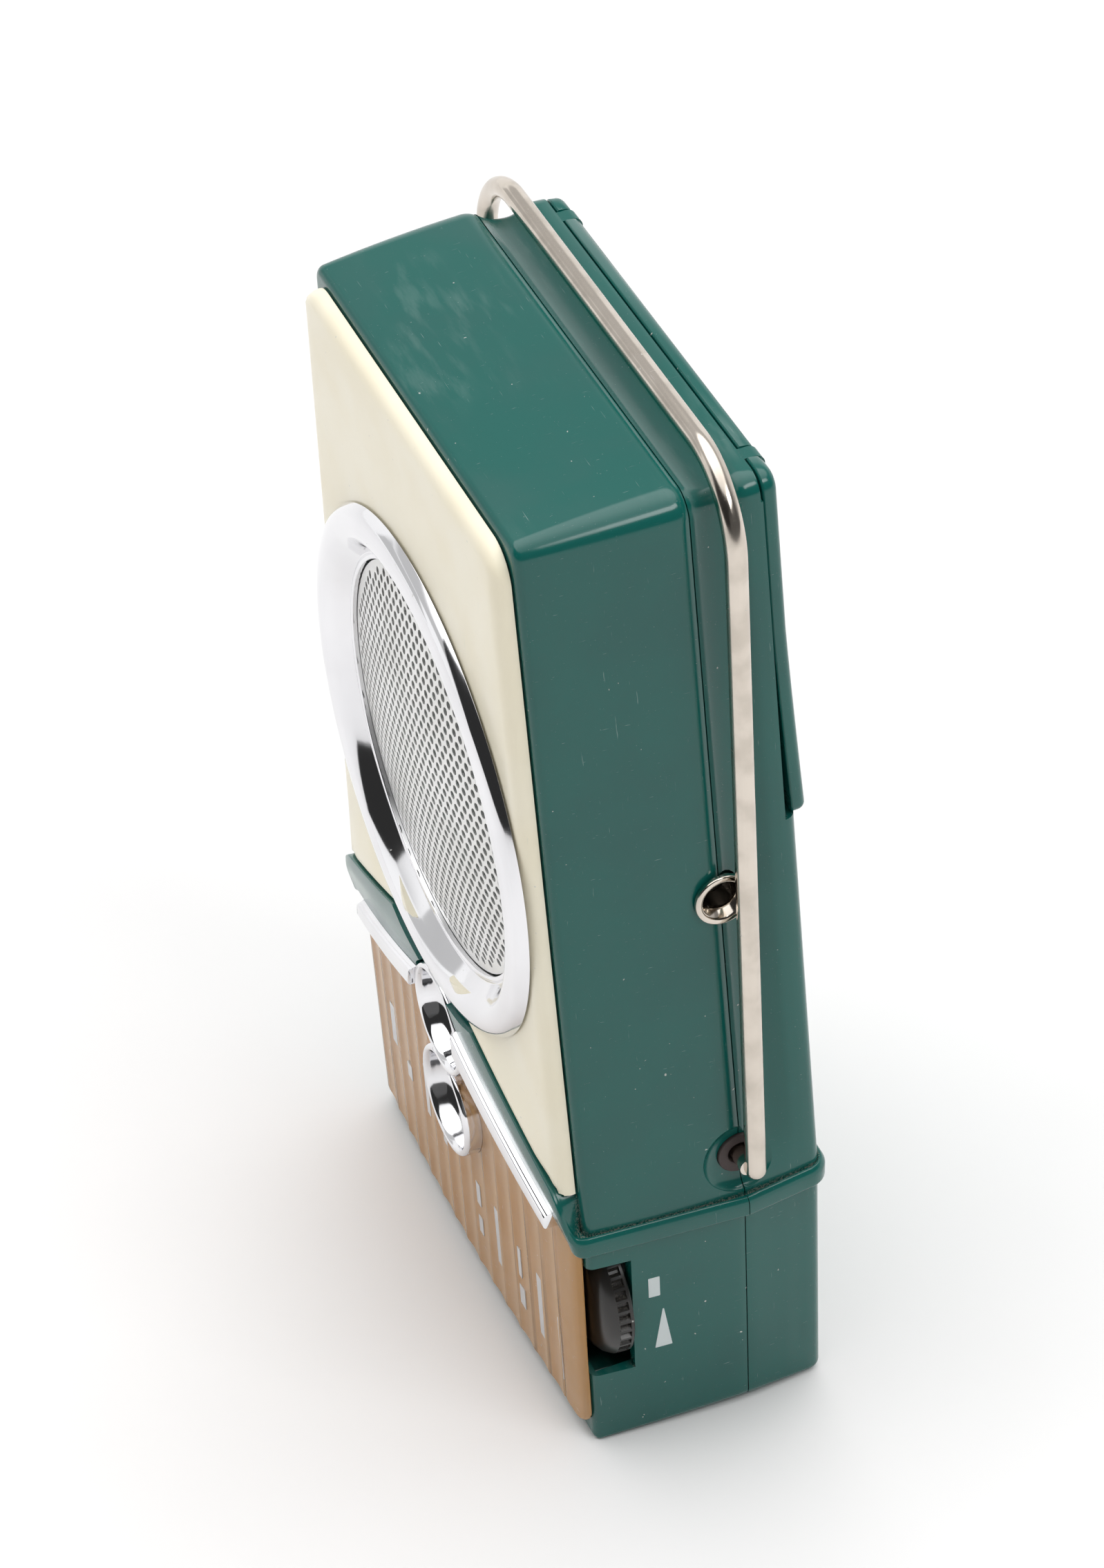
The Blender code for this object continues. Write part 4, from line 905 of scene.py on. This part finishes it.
def bezel():
    """A ring that rolls over its rim, falls to the grille and turns back behind a small bead."""
    seat = GAP - PANEL_Y
    rim = BEZEL_RADIUS
    corners = [
        (rim, seat), (rim - 0.9, seat + 1.55), (rim - 2.7, seat + 2.15), (rim - 4.2, seat + 2.1),
        (rim - 5.6, seat + 1.1), (rim - 7.6, 1.75), (rim - 8.0, 2.05), (rim - 8.6, 1.9), (rim - 8.6, 0.4),
        (PANEL_HOLE - 0.5, 0.4), (PANEL_HOLE - 0.5, seat),
    ]
    profile = rounded(corners, [0.1, 0.9, 1.0, 0.9, 1.2, 0.25, 0.25, 0.15, 0, 0, 0], 6)
    ring = made("speaker_bezel_ring", revolved(profile, (0, 0, SPEAKER_Z), -Y, 192))
    carved(ring, cut(drum((0, 0, RING_Z["upper"]), RING_RADIUS + GAP, 20, Y, 96)))
    placed(ring, "chrome", ["speaker_bezel"], angle=50)


def grille():
    """A domed sheet, perforated with round holes on a hexagonal grid."""
    pitch, hole, rise, edge, thick = 1.9, 0.63, 2.4, 1.2, 0.5
    bm = bmesh.new()
    known = {}

    def front_of(x, z):
        reach = hypot(x, z)
        if reach > GRILLE_RADIUS:
            x, z = x * GRILLE_RADIUS / reach, z * GRILLE_RADIUS / reach
        height = edge + rise * max(1 - (x**2 + z**2) / GRILLE_RADIUS**2, 0)
        return Vector((x, -height, SPEAKER_Z + z))

    def corner(x, z):
        key = (round(x, 3), round(z, 3))
        if key not in known:
            known[key] = bm.verts.new(front_of(x, z))
        return known[key]

    count = int(GRILLE_RADIUS / pitch) + 2
    side = pitch / sqrt(3)
    for row in range(-2 * count, 2 * count + 1):
        for column in range(-count, count + 1):
            x = column * pitch + (row % 2) * pitch / 2
            z = row * side * 1.5
            if hypot(x, z) > GRILLE_RADIUS + pitch * 0.45:
                continue
            outer = []
            for k in range(6):
                a, b = radians(60 * k + 30), radians(60 * k + 90)
                first = (x + side * cos(a), z + side * sin(a))
                second = (x + side * cos(b), z + side * sin(b))
                outer.append(corner(*first))
                outer.append(corner((first[0] + second[0]) / 2, (first[1] + second[1]) / 2))
            if hypot(x, z) > GRILLE_RADIUS - pitch * 0.7:
                bm.faces.new(outer)
                continue
            inner = []
            for k in range(12):
                a = radians(30 * k + 30)
                inner.append(bm.verts.new(front_of(x + hole * cos(a), z + hole * sin(a))))
            for k in range(12):
                bm.faces.new((outer[k], outer[(k + 1) % 12], inner[(k + 1) % 12], inner[k]))
    sheet = made("speaker_grille_sheet", bm)
    depth = sheet.modifiers.new("depth", "SOLIDIFY")
    depth.thickness = thick * MM
    depth.offset = -1
    settled(sheet)
    placed(sheet, "silver_grille", ["speaker_grille"], angle=50)


def wing(side, name):
    """One arm of the trim: a bar with an upright face and a nearly level top, its long edge just rounded."""
    rings = []
    start = RING_RADIUS - 1.5
    for i in range(41):
        x = start + (WING_END - start) * i / 40
        upper_y, upper_z = lip_edge("lower", x)
        lower_y, lower_z = edge_at(WING_EDGE, x)
        upper_z -= GAP / 3
        back_y = lens_y(x) - GAP + 0.2
        corners = [
            (back_y, upper_z), (upper_y + 0.4, upper_z), (lower_y + 0.75, upper_z - 0.30),
            (lower_y + 0.60, upper_z - 0.42), (lower_y + 0.12, upper_z - 0.62), (lower_y, lower_z + 0.35),
            (lower_y + 0.3, lower_z), (back_y, lower_z),
        ]
        points = rounded(corners, [0, 0.2, 0.06, 0.06, 0.35, 0.25, 0.2, 0], 4)
        rings.append([Vector((side * x, y, z)) for y, z in points])
    bar = made(f"{name}_bar", lofted(rings))
    carved(bar, cut(drum((0, 0, RING_Z["upper"]), RING_RADIUS + 0.05, 30, Y, 128)))
    eased_edges(bar, 0.12, 50)
    placed(bar, "chrome", [name])


def trim_rings():
    """Each ring has a thin bright rim round a polished, dished hollow."""
    rim = RING_RADIUS
    corners = [(0, 0.5), (rim, 0.5), (rim, 4.4), (rim - 0.35, 4.9), (rim - 0.95, 4.85), (rim - 1.3, 4.2)]
    profile = rounded(corners, [0, 0.1, 0.35, 0.3, 0.3, 0], 5)
    hollow = [(rim - 1.3, 4.2), (rim - 1.55, 3.1), (rim - 1.95, 2.0), (rim - 2.8, 1.2), (rim - 4.6, 0.95)]
    profile += smoothly(hollow + [(0.4, 0.9)], 22)[1:] + [(0, 0.9)]
    for name, z in RING_Z.items():
        ring = made(f"trim_ring_{name}_dish", revolved(profile, (0, 0, z), -Y, 160))
        if name == "lower":
            carved(ring, cut(drum((0, 0, RING_Z["upper"]), rim + GAP / 2, 20, Y, 96)))
        placed(ring, "chrome", [f"trim_ring_{name}"], angle=50)


# ---- dial


def lens_y(x):
    """The lens's face at x, before its flutes: it bows forward, and rolls back at both ends."""
    y = LENS_EDGE_Y - LENS_BULGE * (1 - (x / LENS_HALF) ** 2)
    over = min(max(abs(x) - (LENS_HALF - LENS_ROLL), 0) / LENS_ROLL, 1)
    return y + (-LENS_EDGE_Y - 0.2) * (1 - sqrt(1 - over**2))


def flute(x):
    """How far the face falls back at x: shallow hollows side by side, then a plain band at the right."""
    t = ((x + 100) / FLUTE_PITCH) % 1
    fade = 1 - eased(x, FLUTE_END - 0.5, FLUTE_END + 0.5)
    return FLUTE_DEPTH * fade * (1 - (2 * t - 1) ** 2)


def dial_window():
    """A bulged, fluted plate under the V of the lip, with round holes for the trim's rings."""
    flat_half = LENS_HALF - LENS_ROLL
    count = int(2 * flat_half / (FLUTE_PITCH / 10))
    ends = [LENS_HALF - LENS_ROLL * (1 - cos(a)) for a in QUARTER[:-1]]
    xs = [-x for x in ends] + [-flat_half + 2 * flat_half * i / count for i in range(count + 1)] + ends[::-1]
    rings = []
    for x in xs:
        foot_x = x * LENS_FOOT_HALF / LENS_HALF
        over = min(max(abs(foot_x) - (LENS_FOOT_HALF - LENS_CORNER), 0) / LENS_CORNER, 1)
        foot_z = LENS_FOOT_Z + LENS_CORNER * (1 - sqrt(1 - over**2))
        face = min(lens_y(x) + flute(x), -0.5)
        back = min(face + LENS_THICK, -GAP)
        top = lip_edge("lower", x)[1] - GAP
        # The first two points are a chamfer along the foot.
        corners = [(foot_x, face + 0.3, foot_z), (foot_x, face, foot_z + 0.35), (x, face, top)]
        corners += [(x, back, top), (foot_x, back, foot_z)]
        rings.append([Vector(corner) for corner in corners])
    window = made("dial_window_lens", lofted(rings))
    carved(window, cut(*(drum((0, 0, z), RING_RADIUS + 0.05, 12, Y, 96) for z in RING_Z.values())))
    placed(window, "brown_lens", ["dial_window"], angle=40)


def printed_bar(x, low, high, width):
    """A thin printed mark on the lens: a bar from low to high."""
    y = lens_y(x) + flute(x) - 0.04
    half = width / 2
    section = rounded([(x - half, low), (x + half, low), (x + half, high), (x - half, high)], 0.25, 3)
    return lofted([[Vector((a, y + depth, b)) for a, b in section] for depth in (0, 0.3)])


def dial_marks():
    """Station marks on the lens, as plain bars in two rows."""
    bars = [
        (-32.0, 18.0, 26.0, 1.9), (-24.5, 17.0, 20.0, 1.9), (-17.0, 16.0, 26.0, 2.0), (-9.0, 16.5, 20.0, 2.0),
        (-9.0, 22.0, 26.5, 2.0), (4.0, 9.5, 13.0, 2.2), (4.0, 15.5, 20.0, 2.2), (12.0, 9.5, 21.0, 2.4),
        (20.0, 8.5, 12.5, 2.4), (20.0, 14.5, 20.5, 1.2), (27.5, 8.5, 21.0, 2.5), (34.0, 6.0, 18.5, 0.9),
    ]
    marks = made("dial_marks", gathered(printed_bar(*bar) for bar in bars))
    placed(marks, "silver_print")


def switch_marks():
    """The switch's marks printed on the right wall: a bar, and a wedge that widens towards the foot."""
    bar = ((8.9, 27.2), (10.6, 27.2), (10.6, 31.2), (8.9, 31.2))
    wedge = ((9.6, 16.2), (12.2, 16.2), (11.1, 24.2), (10.9, 24.2))
    pieces = []
    for corners in (bar, wedge):
        points = rounded(corners, 0.12, 2)
        walls = [half_width(z) - front_inset(y) for y, z in points]
        rings = [[Vector((w + proud, *point)) for w, point in zip(walls, points)] for proud in (0.03, -0.1)]
        pieces.append(lofted(rings))
    placed(made("switch_marks", gathered(pieces)), "white_print")


# ---- controls


def thumbwheel(kind):
    """A wheel with a smooth bevelled front, a band of ribs behind it, a dished face and a bore."""
    wheel = WHEELS[kind]
    radius, ribs = wheel["radius"], wheel["ribs"]
    centre_x, centre_z = wheel["centre"]
    start, end = WHEEL_FRONT_Y, WHEEL_FRONT_Y + WHEEL_THICK
    # (radius, y, depth of the ribs) along the section, a closed loop.
    section = [
        (1.6, start + 0.8, 0), (3.6, start + 0.8, 0), (3.9, start + 0.4, 0), (4.3, start, 0),
        (radius - 3.4, start, 0), (radius - 2.4, start + 0.15, 0), (radius - 1.5, start + 0.6, 0),
        (radius - 0.8, start + 1.2, 0), (radius - 0.35, start + 1.9, 0), (radius - 0.12, start + 2.3, 0),
        (radius - 0.1, start + 2.4, 0.8), (radius, end - 0.65, 0.8), (radius, end - 0.6, 0),
        (radius, end - 0.2, 0), (radius - 0.25, end, 0), (2.8, end, 0), (2.8, start + 2.4, 0),
        (1.6, start + 2.4, 0),
    ]
    steps = ribs * 8
    rings = []
    for r, y, depth in section:
        ring = []
        for i in range(steps):
            a = 2 * pi * i / steps
            wave = eased(abs((i / 8) % 1 - 0.5) * 2, 0.40, 0.60)
            reach = r - depth * wave
            ring.append(Vector((centre_x + reach * cos(a), y, centre_z + reach * sin(a))))
        rings.append(ring)
    body = f"{kind}_knob"
    obj = made(f"{kind}_wheel_ribbed", lofted(rings, closed=True))
    placed(obj, "black_plastic", [f"{kind}_wheel"], body, 32)
    wheel_screw(f"{kind}_wheel_screw", Vector((centre_x, WHEEL_FRONT_Y - 0.1, centre_z)), body)


def wheel_screw(node_name, centre, body):
    """A cheese-head screw with an eased rim and a slot across it. centre is the middle of its head's top."""
    radius, head, shank_radius, end = 2.4, 0.9, 1.2, 2.3
    corners = [(0, 0), (radius, 0), (radius, -head), (shank_radius, -head), (shank_radius, -end), (0, -end)]
    profile = rounded(corners, [0, 0.25, 0.1, 0, 0.2, 0], 4)
    screw = made(f"{node_name}_slotted", revolved(profile, centre, -Y, 48))
    slot_half = Vector((radius * 2, 0.45, 0.28))
    slot = block(centre - slot_half, centre + slot_half)
    bmesh.ops.rotate(slot, cent=centre, matrix=Matrix.Rotation(radians(25), 3, -Y), verts=slot.verts)
    carved(screw, cut(slot))
    placed(screw, "brass", [node_name], body)


# ---- bail, bushes and jack


def bail_path():
    """The bail's centre line: up the right leg, round two corners and down the left one."""
    foot, top = BAIL_FOOT, BAIL_TOP
    rise = (top - foot).normalized()
    across = Vector((-1, 0, 0))
    half_turn = rise.angle(across) / 2
    reach = BAIL_CORNER * tan(half_turn)
    start, end = top - rise * reach, top + across * reach
    inward = ((start + end) / 2 - top).normalized()
    centre = top + inward * (BAIL_CORNER / cos(half_turn))
    points = [foot.lerp(start, i / 12) for i in range(13)]
    spoke_a, spoke_b = start - centre, end - centre
    total = spoke_a.angle(spoke_b)
    for i in range(1, 21):
        share = i / 20
        turned = spoke_a * sin((1 - share) * total) + spoke_b * sin(share * total)
        points.append(centre + turned / sin(total))
    points += [Vector((end.x * (1 - i / 4), end.y, end.z)) for i in range(1, 5)]
    return points + [Vector((-p.x, p.y, p.z)) for p in reversed(points[:-1])]


def carry_bail():
    """The wire along its path, with rounded ends and a pin into each bush."""
    points = bail_path()
    sides = 28
    plane = X.cross(BAIL_TOP - BAIL_FOOT).normalized()

    def ring(centre, tangent, radius):
        across = tangent.cross(plane).normalized()
        angles = [2 * pi * i / sides for i in range(sides)]
        return [centre + (across * cos(a) + plane * sin(a)) * radius for a in angles]

    def rounded_end(tip, tangent, inward):
        """Rings from the tip, inward along the wire: inward is 1 along the tangent and -1 against it."""
        rings = []
        for a in map(radians, (12, 28, 44, 60, 75, 90)):
            centre = tip + tangent * (inward * BAIL_WIRE * (1 - cos(a)))
            rings.append(ring(centre, tangent, BAIL_WIRE * sin(a)))
        return rings

    rings = rounded_end(points[0], (points[1] - points[0]).normalized(), 1)
    for before, here, after in zip(points, points[1:], points[2:]):
        rings.append(ring(here, (after - before).normalized(), BAIL_WIRE))
    rings += reversed(rounded_end(points[-1], (points[-1] - points[-2]).normalized(), -1))
    bail = made("carry_bail_wire", lofted(rings))
    pins = [drum((side * 44.2, SEAM_Y, PIVOT_Z), 1.4, 7.4, X, 32) for side in (-1, 1)]
    carved(bail, joined(*pins))
    placed(bail, "nickel_wire", ["carry_bail"], "bail", 50)


def bushes():
    """A flanged bush at each of the bail's pivots."""
    wall = half_width(PIVOT_Z)
    corners = [(3.35, 0.45), (3.35, -0.1), (3.1, -0.1), (3.1, -3.6), (1.8, -3.6), (1.8, 0.3), (2.3, 0.45)]
    profile = rounded(corners, [0.25, 0, 0, 0.1, 0.1, 0.15, 0.2], 4)
    for side, name in ((-1, "left"), (1, "right")):
        centre = (side * (wall - 1.1), SEAM_Y, PIVOT_Z)
        bush = made(f"bail_bush_{name}_flanged", revolved(profile, centre, X * side, 64))
        placed(bush, "fibre_washer", [f"bail_bush_{name}"])


def jack():
    """A dished eyelet, with its dark contact deep inside."""
    wall = half_width(JACK_Z)
    corners = [(4.1, 0.9), (4.1, 0.2), (3.0, 0.2), (3.0, -10), (2.2, -10), (2.2, -0.6), (3.2, 0.9)]
    profile = rounded(corners, [0.5, 0, 0, 0.1, 0.1, 0.4, 0.35], 5)
    eyelet = made("earphone_jack_eyelet", revolved(profile, (wall, SEAM_Y, JACK_Z), X, 96))
    placed(eyelet, "nickel_wire", ["earphone_jack"], angle=50)
    contact = rounded([(0, -4), (2.15, -4), (2.15, -9.8), (0, -9.8)], 0, 1)
    placed(made("jack_inner", revolved(contact, (wall, SEAM_Y, JACK_Z), X, 48)), "black_plastic")


# ---- the rest


def refined(name, look, body="case"):
    """A CAD node's own shape with eased edges."""
    bm = bmesh.new()
    bm.from_mesh(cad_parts[name].data)
    bmesh.ops.remove_doubles(bm, verts=bm.verts, dist=0.02 * MM)
    bmesh.ops.dissolve_limit(bm, angle_limit=radians(1.5), verts=bm.verts, edges=bm.edges)
    obj = linked(f"{name}_fine", meshed(name, bm))
    eased_edges(obj, 0.2)
    placed(obj, look, [name], body)


def works():
    """The pieces inside the case, and those that the case mostly hides."""
    plain = {
        "dial_plate": "gold_dial", "pointer_rail": "steel", "jack_nut": "steel", "speaker_frame": "steel",
        "speaker_magnet": "steel", "circuit_board": "board_phenolic", "driver_transformer": "steel",
        "output_transformer": "steel", "ferrite_rod": "ferrite", "aerial_coil": "coil_wire",
        "rod_clip_left": "white_plastic", "rod_clip_right": "white_plastic", "battery": "battery_sleeve",
        "battery_snap": "black_plastic", "volume_pot": "steel", "tuning_capacitor": "white_plastic",
        "cover_hinge_pin": "steel", "speaker_cone": "cone_paper",
    }
    rows = {
        "if_can": ("aluminium_can", 4), "transistor": ("aluminium_can", 8),
        "electrolytic": ("battery_sleeve", 3), "board_screw": ("steel", 3), "case_screw": ("steel", 2),
    }
    for kind, (look, count) in rows.items():
        plain |= {f"{kind}_{i}": look for i in range(1, count + 1)}
    for name, look in plain.items():
        refined(name, look)
    refined("dial_pointer", "white_plastic", "pointer")


# ---- stage


def stage():
    """A pale floor just under the case."""
    bm = bmesh.new()
    bmesh.ops.create_grid(bm, x_segments=1, y_segments=1, size=8)
    floor = linked("floor", meshed("floor", bm))
    floor.location.z = cad_box[0][2] - 0.1 * MM
    pale, shade = (0.80, 0.795, 0.795), (0.77, 0.765, 0.765)
    floor.data.materials.append(finish("pale_floor", pale, shade, 0.7, blotch=9, grain=500, bump=0.02))


def softbox(name, place, target, size, power):
    lamp = bpy.data.lights.new(name, "AREA")
    lamp.shape = "RECTANGLE"
    lamp.size, lamp.size_y = size
    lamp.energy = power
    box = linked(name, lamp)
    box.location = place
    box.rotation_euler = (Vector(target) - Vector(place)).to_track_quat("-Z", "Y").to_euler()


def lights():
    """A white room and a softbox at the back.

    The room is brightest overhead and dim on the right, with a dark card in front and a dim patch at left.
    """
    scene = bpy.context.scene
    scene.world = bpy.data.worlds.new("studio")
    scene.world.use_nodes = True
    tree = scene.world.node_tree
    toward = node(tree, "ShaderNodeTexCoord").outputs["Generated"]
    parts = node(tree, "ShaderNodeSeparateXYZ", {0: toward})
    x, y, z = (parts.outputs[axis] for axis in "XYZ")
    walls = stepped(tree, x, 0.60, -0.30, 0.08, 1.08)
    ceiling = stepped(tree, x, 0.70, -0.20, 1.1, 2.2)
    room = stepped(tree, z, 0.70, 0.80)
    upper = stepped(tree, z, 0.42, 0.52, 1.0, 0.55)
    bright = sums(tree, "ADD", times(tree, walls, upper), times(tree, room, ceiling))

    def between(value, low, high, edge=0.012):
        below = stepped(tree, value, low - edge, low + edge)
        return times(tree, below, stepped(tree, value, high + edge, high - edge))

    card = times(tree, between(x, -0.12, 0.80), between(z, 0.01, 0.76), stepped(tree, y, -0.10, -0.15))
    dim = times(tree, between(x, -0.88, -0.50), between(z, 0.08, 0.44), stepped(tree, y, -0.30, -0.40), 0.45)
    shade = sums(tree, "SUBTRACT", 1.0, sums(tree, "MAXIMUM", card, dim))
    background = tree.nodes["Background"]
    background.inputs["Color"].default_value = (1.0, 0.998, 0.995, 1)
    tree.links.new(sums(tree, "MULTIPLY_ADD", bright, shade, 0.03), background.inputs["Strength"])
    scene.view_settings.view_transform = "Standard"
    softbox("corner_softbox", (0.95, 0.45, 1.15), (0, 0, 0.1), (0.8, 0.34), 5.5)


LOOKS = finishes()
# The prints count as the white plastic; every other look is a material of the record by the same name.
camera()
front_shell()
rear_shell()
cover()
front_panel()
bezel()
grille()
wing(-1, "trim_wing_left")
wing(1, "trim_wing_right")
trim_rings()
dial_window()
dial_marks()
switch_marks()
thumbwheel("volume")
thumbwheel("tuning")
carry_bail()
bushes()
jack()
works()
stage()
lights()
